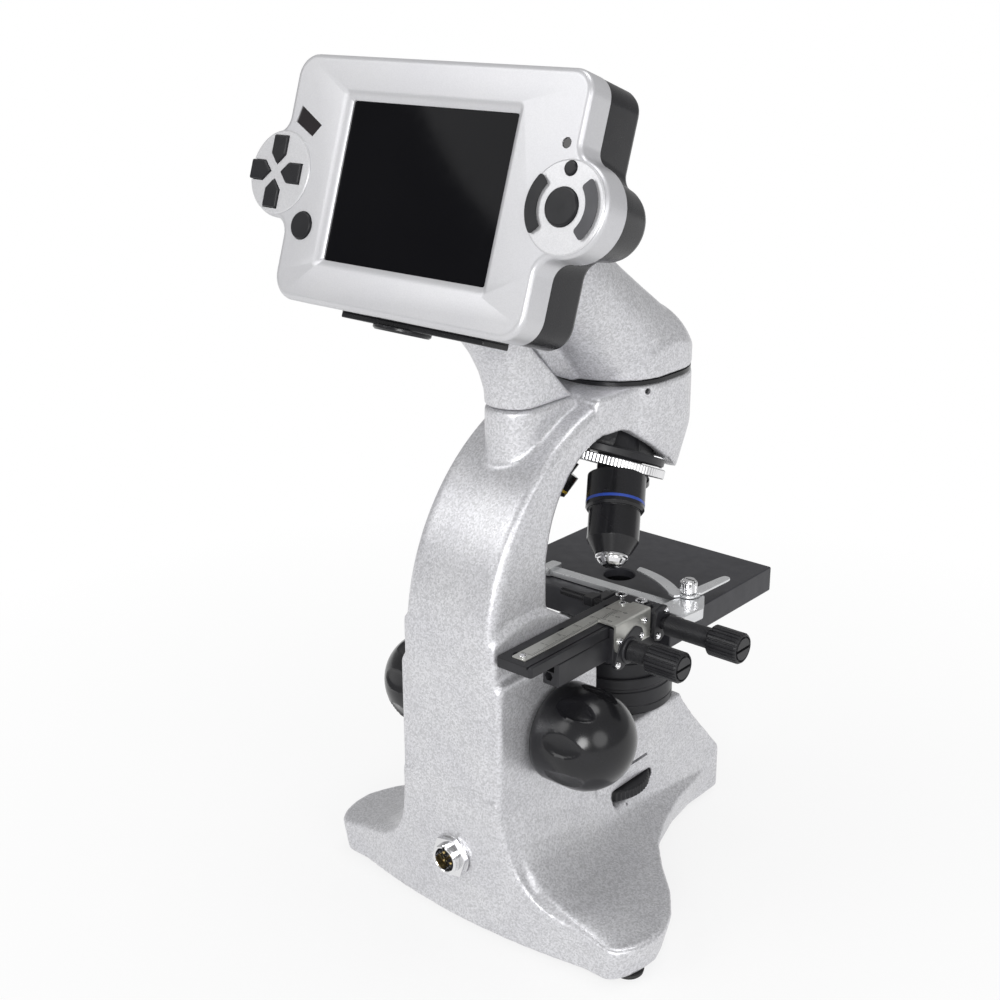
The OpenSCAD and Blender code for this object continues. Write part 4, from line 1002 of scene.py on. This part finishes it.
holder = boolean(holder, [moved(rod(1.6, 100, 130, 32), T(*NUT, 0))])
drive_lug = boolean(joined([bevelled(lug, 0.2, 1), bevelled(lug2, 0.2, 1)]), [rod_x(1.6, -10, 50, *FAR_AXIS)])
piece("holder_lug", drive_lug, SATIN_BLACK, "x_slide")
piece("slide_holder", holder, SATIN, "x_slide", "specimen_holder", sharp=30)
nut = lathe([(0, 0), (1.5, 0), (1.5, 5.0), (3.0, 5.0), (3.4, 5.4), (3.4, 9.2), (3.1, 9.5), (2.6, 9.6),
             (2.5, 10.3), (0, 10.3)], 144, 0.12,
            wave=lambda a, r, z: r - (0.18 if r > 3.3 and math.cos(a * 24) < -0.2 else 0))
nut = boolean(nut, [block(-3, -0.35, 9.4, 3, 0.35, 12)], self_cut=False)
piece("finger_nut", nut, CHROME, "x_slide", "thumb_nut", place=T(*NUT, HOLDER_Z + 0.9))


FINGER_Z = HOLDER_Z + 4.85
blade = arc(8, -45.4, 45.4, 87, 54, 20) + [(38, -9.5), (39.5, -13), (37.5, -16)] + arc(
    -2.6, -62.3, 60.4, 52, 77, 20)
sickle = bevelled(slab(fillet(blade, 0.8, 3, True), FINGER_Z, FINGER_Z + 0.95), 0.2, 2)
hub = moved(bevelled(slab(arc(0, 0, 4.7, 0, 360, 40)[:-1], FINGER_Z, FINGER_Z + 0.95), 0.2, 2), T(*NUT, 0))
handle = fillet([(39.6, -6), (44.4, -9.5), (45.4, 10.8), (45.2, 13.4), (42.2, 13.6), (41.4, 10.6)], 1.4,
                4, True)
lever = bevelled(slab(handle, FINGER_Z + 0.1, FINGER_Z + 1.2), 0.3, 3)
finger = boolean(joined([sickle, hub, lever]), [moved(rod(1.55, 100, 130, 32), T(*NUT, 0))])
piece("sickle_finger", finger, SATIN, "finger", "clip_finger", sharp=30)

# -------------------------------------------------------------- nosepiece

mount_disc = lathe([(2.1, 4.6), (23.7, 4.6), (24.3, 5.1), (24.3, 7.5), (23.8, 8), (19.7, 8), (2.1, 8)],
                   128, 0.15, True)
piece("nose_disc", mount_disc, SATIN_BLACK, "stand", place=TURRET)
cone = lathe([(3, 7.9), (19.5, 7.9), (19.3, 9.2), (17, 16.9), (3, 16.9)], 128, 0.2, True)
piece("nose_cone", cone, GRAIN_BLACK, "stand", "nose_mount", place=TURRET)
spring = joined([block(-1.6, 20.2, 8.05, 1.6, 24.8, 8.65), block(-1.6, 24.5, 4.4, 1.6, 24.85, 8.6)])
spring = bevelled(spring, 0.1, 1)
piece("click_spring", spring, CHROME, "stand", "detent_spring", place=TURRET @ R(-38, "Z"))



def turret_cuts():
    """Bores for the three objectives, in the turret's own axes."""
    sizes = [(8.1, -16.5, 3.5), (12.2, 3.5, 24)]
    return [moved(rod(*size, 48), TURRET.inverted() @ seat(phi)) for size in sizes for phi in (0, 120, 240)]


knurl = lathe([(21.5, 0.1), (24.9, 0.1), (25.5, 0.5), (25.5, 3.5), (24.9, 3.9), (21.5, 3.9)], 360, 0.08, True,
              wave=lambda a, r, z: r - (0.3 * (0.5 - 0.5 * math.cos(a * 120)) if r > 25.2 else 0))
piece("turret_grip", boolean(knurl, turret_cuts(), self_cut=False), CHROME, "turret",
      "turret_ring", place=TURRET, sharp=35)
core = lathe([(0, -8), (6.2, -8), (7.2, -7.5), (24.8, -0.3), (24.8, 0), (21.4, 0), (21.4, 3.9), (2, 3.9),
              (2, 9), (0, 9)], 128, 0.1)
piece("turret_core", boolean(core, turret_cuts(), self_cut=False), SATIN_BLACK, "turret",
      "turret_body", place=TURRET)


def objective(name, phi, outline, band, band_mat, front, node):
    """Barrel outline [(length, radius)], colour band (from, to, radius), chrome front outline."""
    prof = [(3, -1), (8, -1), (8, 3.5)] + [(r, z) for z, r in outline] + [(3, outline[-1][0])]
    barrel = lathe(prof, 112, 0.18, True)
    m = seat(phi)
    piece(f"{name}_barrel", barrel, GLOSS_BLACK, "turret", node, place=m)
    z0, z1, r = band
    piece(f"{name}_band", lathe([(r - 0.6, z0), (r + 0.06, z0), (r + 0.06, z1), (r - 0.6, z1)], 112, 0.04,
                                True), band_mat, "turret", place=m)
    tip = lathe([(0, front[0][0])] + [(r, z) for z, r in front], 96, 0.12)
    piece(f"{name}_front", tip, CHROME, "turret", place=m)


objective("low_power", 0, [(3.6, 11.2), (5.9, 11.2), (6.2, 9.6), (6.2, 9.4), (16, 9.4), (19.3, 6.9),
                           (19.8, 6.6)], (11.2, 12.4, 9.4), RED,
          [(18.6, 3.5), (18.6, 6.2), (20.3, 5.4), (20.3, 3.4), (19.3, 3.2), (19.3, 0.0)], "objective_4x")
objective("mid_power", 240, [(3.6, 11.2), (12.8, 11.2), (13.3, 10.4), (13.3, 9.6), (23, 9.6), (28.6, 6.6),
                             (29, 6.3)], (10.4, 11.4, 11.2), YELLOW,
          [(28, 3.5), (28, 6), (29.6, 5.8), (31.6, 4.4), (32, 3), (31.4, 2.2), (31.4, 0)],
          "objective_10x")
objective("high_power", 120, [(3.6, 11.3), (16.6, 11.3), (17.6, 10.6), (17.6, 9.9), (29.5, 9.9),
                              (35.2, 6.7), (35.6, 6.4)], (14.0, 15.1, 11.3), BLUE,
          [(34.8, 3.5), (34.8, 6.3), (36.3, 6.3), (36.7, 5.6), (37.3, 5.5), (38.7, 4.3), (39.3, 3.2),
           (38.9, 2.0), (38.9, 0)], "objective_40x")

# ------------------------------------------------------------- small parts

jack = boolean(lathe([(4.6, 0), (5.9, 0), (5.9, 5.6), (5.5, 6), (4.9, 6), (4.6, 5.7)], 72, 0.08, True), [
    block(-0.7, 3, 3.5, 0.7, 8, 8)], self_cut=False)
threads = lathe([(5.2, 3.4)] + [q for i in range(5) for q in ((5.95, 3.5 + i * 0.4), (5.75, 3.7 + i * 0.4))]
                + [(5.2, 5.5)], 72, 0, True)
washer = lathe([(5.9, 0.6), (8.1, 0.6), (8.1, 1.2), (5.9, 1.2)], 72, 0.1, True)
hexagon = lathe([(0, 1.2), (8.6, 1.2), (8.6, 3.4), (0, 3.4)], 6, 0)
hexagon = bevelled(hexagon, 0.2, 2)
hexagon = boolean(hexagon, [rod(5.95, -2, 8, 72)])
JACK = T(0, -103.5, 28) @ BACK
piece("inlet_barrel", joined([jack, threads, washer]), CHROME, "stand", place=JACK)
piece("inlet_nut", moved(hexagon, R(12, "Z")), CHROME, "stand", "power_jack", place=JACK)
piece("inlet_core", lathe([(0, -8), (4.55, -8), (4.55, 0.6), (4.2, 0.9), (0, 0.9)], 64, 0), SHELL_BLACK,
      "stand", place=JACK)
pins = [moved(rod(0.55, 0.5, 4.2, 20, 0.2), R(a, "Z") @ T(2.4, 0, 0)) for a in (45, 135, 225, 315)]
piece("inlet_pins", joined(pins), BRASS, "stand", place=JACK)

wheel = lathe([(2.55, 25), (19.2, 25), (20, 25.6), (20, 29.2), (19.2, 29.8), (2.55, 29.8)], 240, 0.1, True,
              wave=lambda a, r, z: r - (0.5 * (0.5 - 0.5 * math.cos(a * 60)) if r > 19.5 else 0))
piece("dimmer_disc", wheel, KNURL_BLACK, "dimmer", "dimmer_wheel", place=T(*DIMMER, 0))

FEET = [(-68, -83), (68, -83), (-13, 36), (13, 36)]
COVER_SCREWS = [(-56, -84), (56, -84), (-12, 20), (12, 20)]
feet = [moved(lathe([(0, 0), (5.2, 0), (5.6, 0.4), (6, 2), (0, 2)], 48, 0.2),
              T(x, y, -DATUM_Z)) for x, y in FEET]
piece("feet", joined(feet), RUBBER, "stand", "rubber_feet")
heads = [moved(screw_head(2.6, 1.0, 30 * i, True),
               T(x, y, FLOOR_Z) @ R(180, "X")) for i, (x, y) in enumerate(COVER_SCREWS)]
piece("cover_screw_heads", joined(heads), STEEL, "stand", "cover_screws")

# ---------------------------------------------------------- floor and light

floor_mesh = bmesh.new()
bmesh.ops.create_grid(floor_mesh, x_segments=1, y_segments=1, size=6)
floor = as_object(floor_mesh, "floor")
fm = bpy.data.materials.new("floor_white")
fm.use_nodes = True
nt = fm.node_tree
nt.nodes.remove(nt.nodes["Principled BSDF"])
diffuse = nt.nodes.new("ShaderNodeBsdfDiffuse")
diffuse.inputs["Color"].default_value = (0.82, 0.82, 0.82, 1)
glow = nt.nodes.new("ShaderNodeEmission")
glow.inputs["Color"].default_value = (1, 1, 1, 1)
glow.inputs["Strength"].default_value = 1.0
path = nt.nodes.new("ShaderNodeLightPath")


def add_nodes(tree, a, b, how="MAXIMUM"):
    n = tree.nodes.new("ShaderNodeMath")
    n.operation = how
    tree.links.new(a, n.inputs[0])
    if isinstance(b, float):
        n.inputs[1].default_value = b
    else:
        tree.links.new(b, n.inputs[1])
    return n.outputs[0]


seen = add_nodes(nt, add_nodes(nt, path.outputs["Is Camera Ray"], path.outputs["Is Glossy Ray"]),
                 path.outputs["Is Transmission Ray"])
spot = nt.nodes.new("ShaderNodeTexCoord")
reach = nt.nodes.new("ShaderNodeVectorMath")
reach.operation = "LENGTH"
nt.links.new(spot.outputs["Object"], reach.inputs[0])
fade = nt.nodes.new("ShaderNodeMapRange")
fade.inputs["From Min"].default_value, fade.inputs["From Max"].default_value = 0.08, 0.42
fade.inputs["To Min"].default_value, fade.inputs["To Max"].default_value = 0.8, 1.0
nt.links.new(reach.outputs["Value"], fade.inputs["Value"])
mix = nt.nodes.new("ShaderNodeMixShader")
nt.links.new(add_nodes(nt, seen, fade.outputs["Result"], "MULTIPLY"), mix.inputs["Fac"])
nt.links.new(diffuse.outputs["BSDF"], mix.inputs[1])
nt.links.new(glow.outputs["Emission"], mix.inputs[2])
nt.links.new(mix.outputs["Shader"], nt.nodes["Material Output"].inputs["Surface"])
floor.data.materials.append(fm)

world = bpy.data.worlds.new("studio")
bpy.context.scene.world = world
world.use_nodes = True
wt = world.node_tree
background = wt.nodes["Background"]
background.inputs["Color"].default_value = (1, 1, 1, 1)
wpath = wt.nodes.new("ShaderNodeLightPath")
wseen = add_nodes(wt, wpath.outputs["Is Camera Ray"], wpath.outputs["Is Transmission Ray"])
level = wt.nodes.new("ShaderNodeMapRange")
level.inputs["To Min"].default_value, level.inputs["To Max"].default_value = 0.42, 1.0
wt.links.new(wseen, level.inputs["Value"])
wt.links.new(level.outputs["Result"], background.inputs["Strength"])


def lamp(name, at, target, size, power):
    data = bpy.data.lights.new(name, "AREA")
    data.shape, data.size, data.energy = "DISK", size, power
    ob = bpy.data.objects.new(name, data)
    bpy.context.scene.collection.objects.link(ob)
    ob.location = at
    ob.rotation_euler = (Vector(target) - Vector(at)).to_track_quat("-Z", "Y").to_euler()


lamp("key", (-0.75, -1.15, 1.15), (0, 0, 0.15), 0.9, 5.5)
lamp("fill", (1.5, -0.5, 0.75), (0, 0, 0.15), 1.0, 6)
lamp("front", (0.8, -1.3, 0.6), (0, 0, 0.2), 0.6, 12)
lamp("top", (0.15, 0.25, 1.7), (0, 0, 0.15), 0.9, 7)

# Fitted to the straight edges, circles and right angles of the photo; x, y and z in metres
CAMERA_LENS = 54.222
CAMERA_AT = (0.33606, -0.46799 + OPTIC_Y / 1000, 0.35142 + DATUM_Z / 1000)
camera_data = bpy.data.cameras.new("camera")
camera_data.sensor_width = 36
camera_data.lens = CAMERA_LENS
camera_data.clip_start, camera_data.clip_end = 0.01, 20
camera = bpy.data.objects.new("camera", camera_data)
bpy.context.scene.collection.objects.link(camera)
right, up, forward = Vector((0.7607, 0.6490, -0.0049)), Vector((-0.2178, 0.2624, 0.9401)), Vector(
    (-0.6114, 0.7141, -0.3410))
camera.matrix_world = Matrix.Translation(CAMERA_AT) @ Matrix(
    (right, up, -forward)).transposed().to_4x4()
bpy.context.scene.camera = camera
bpy.context.scene.view_settings.view_transform = "Standard"
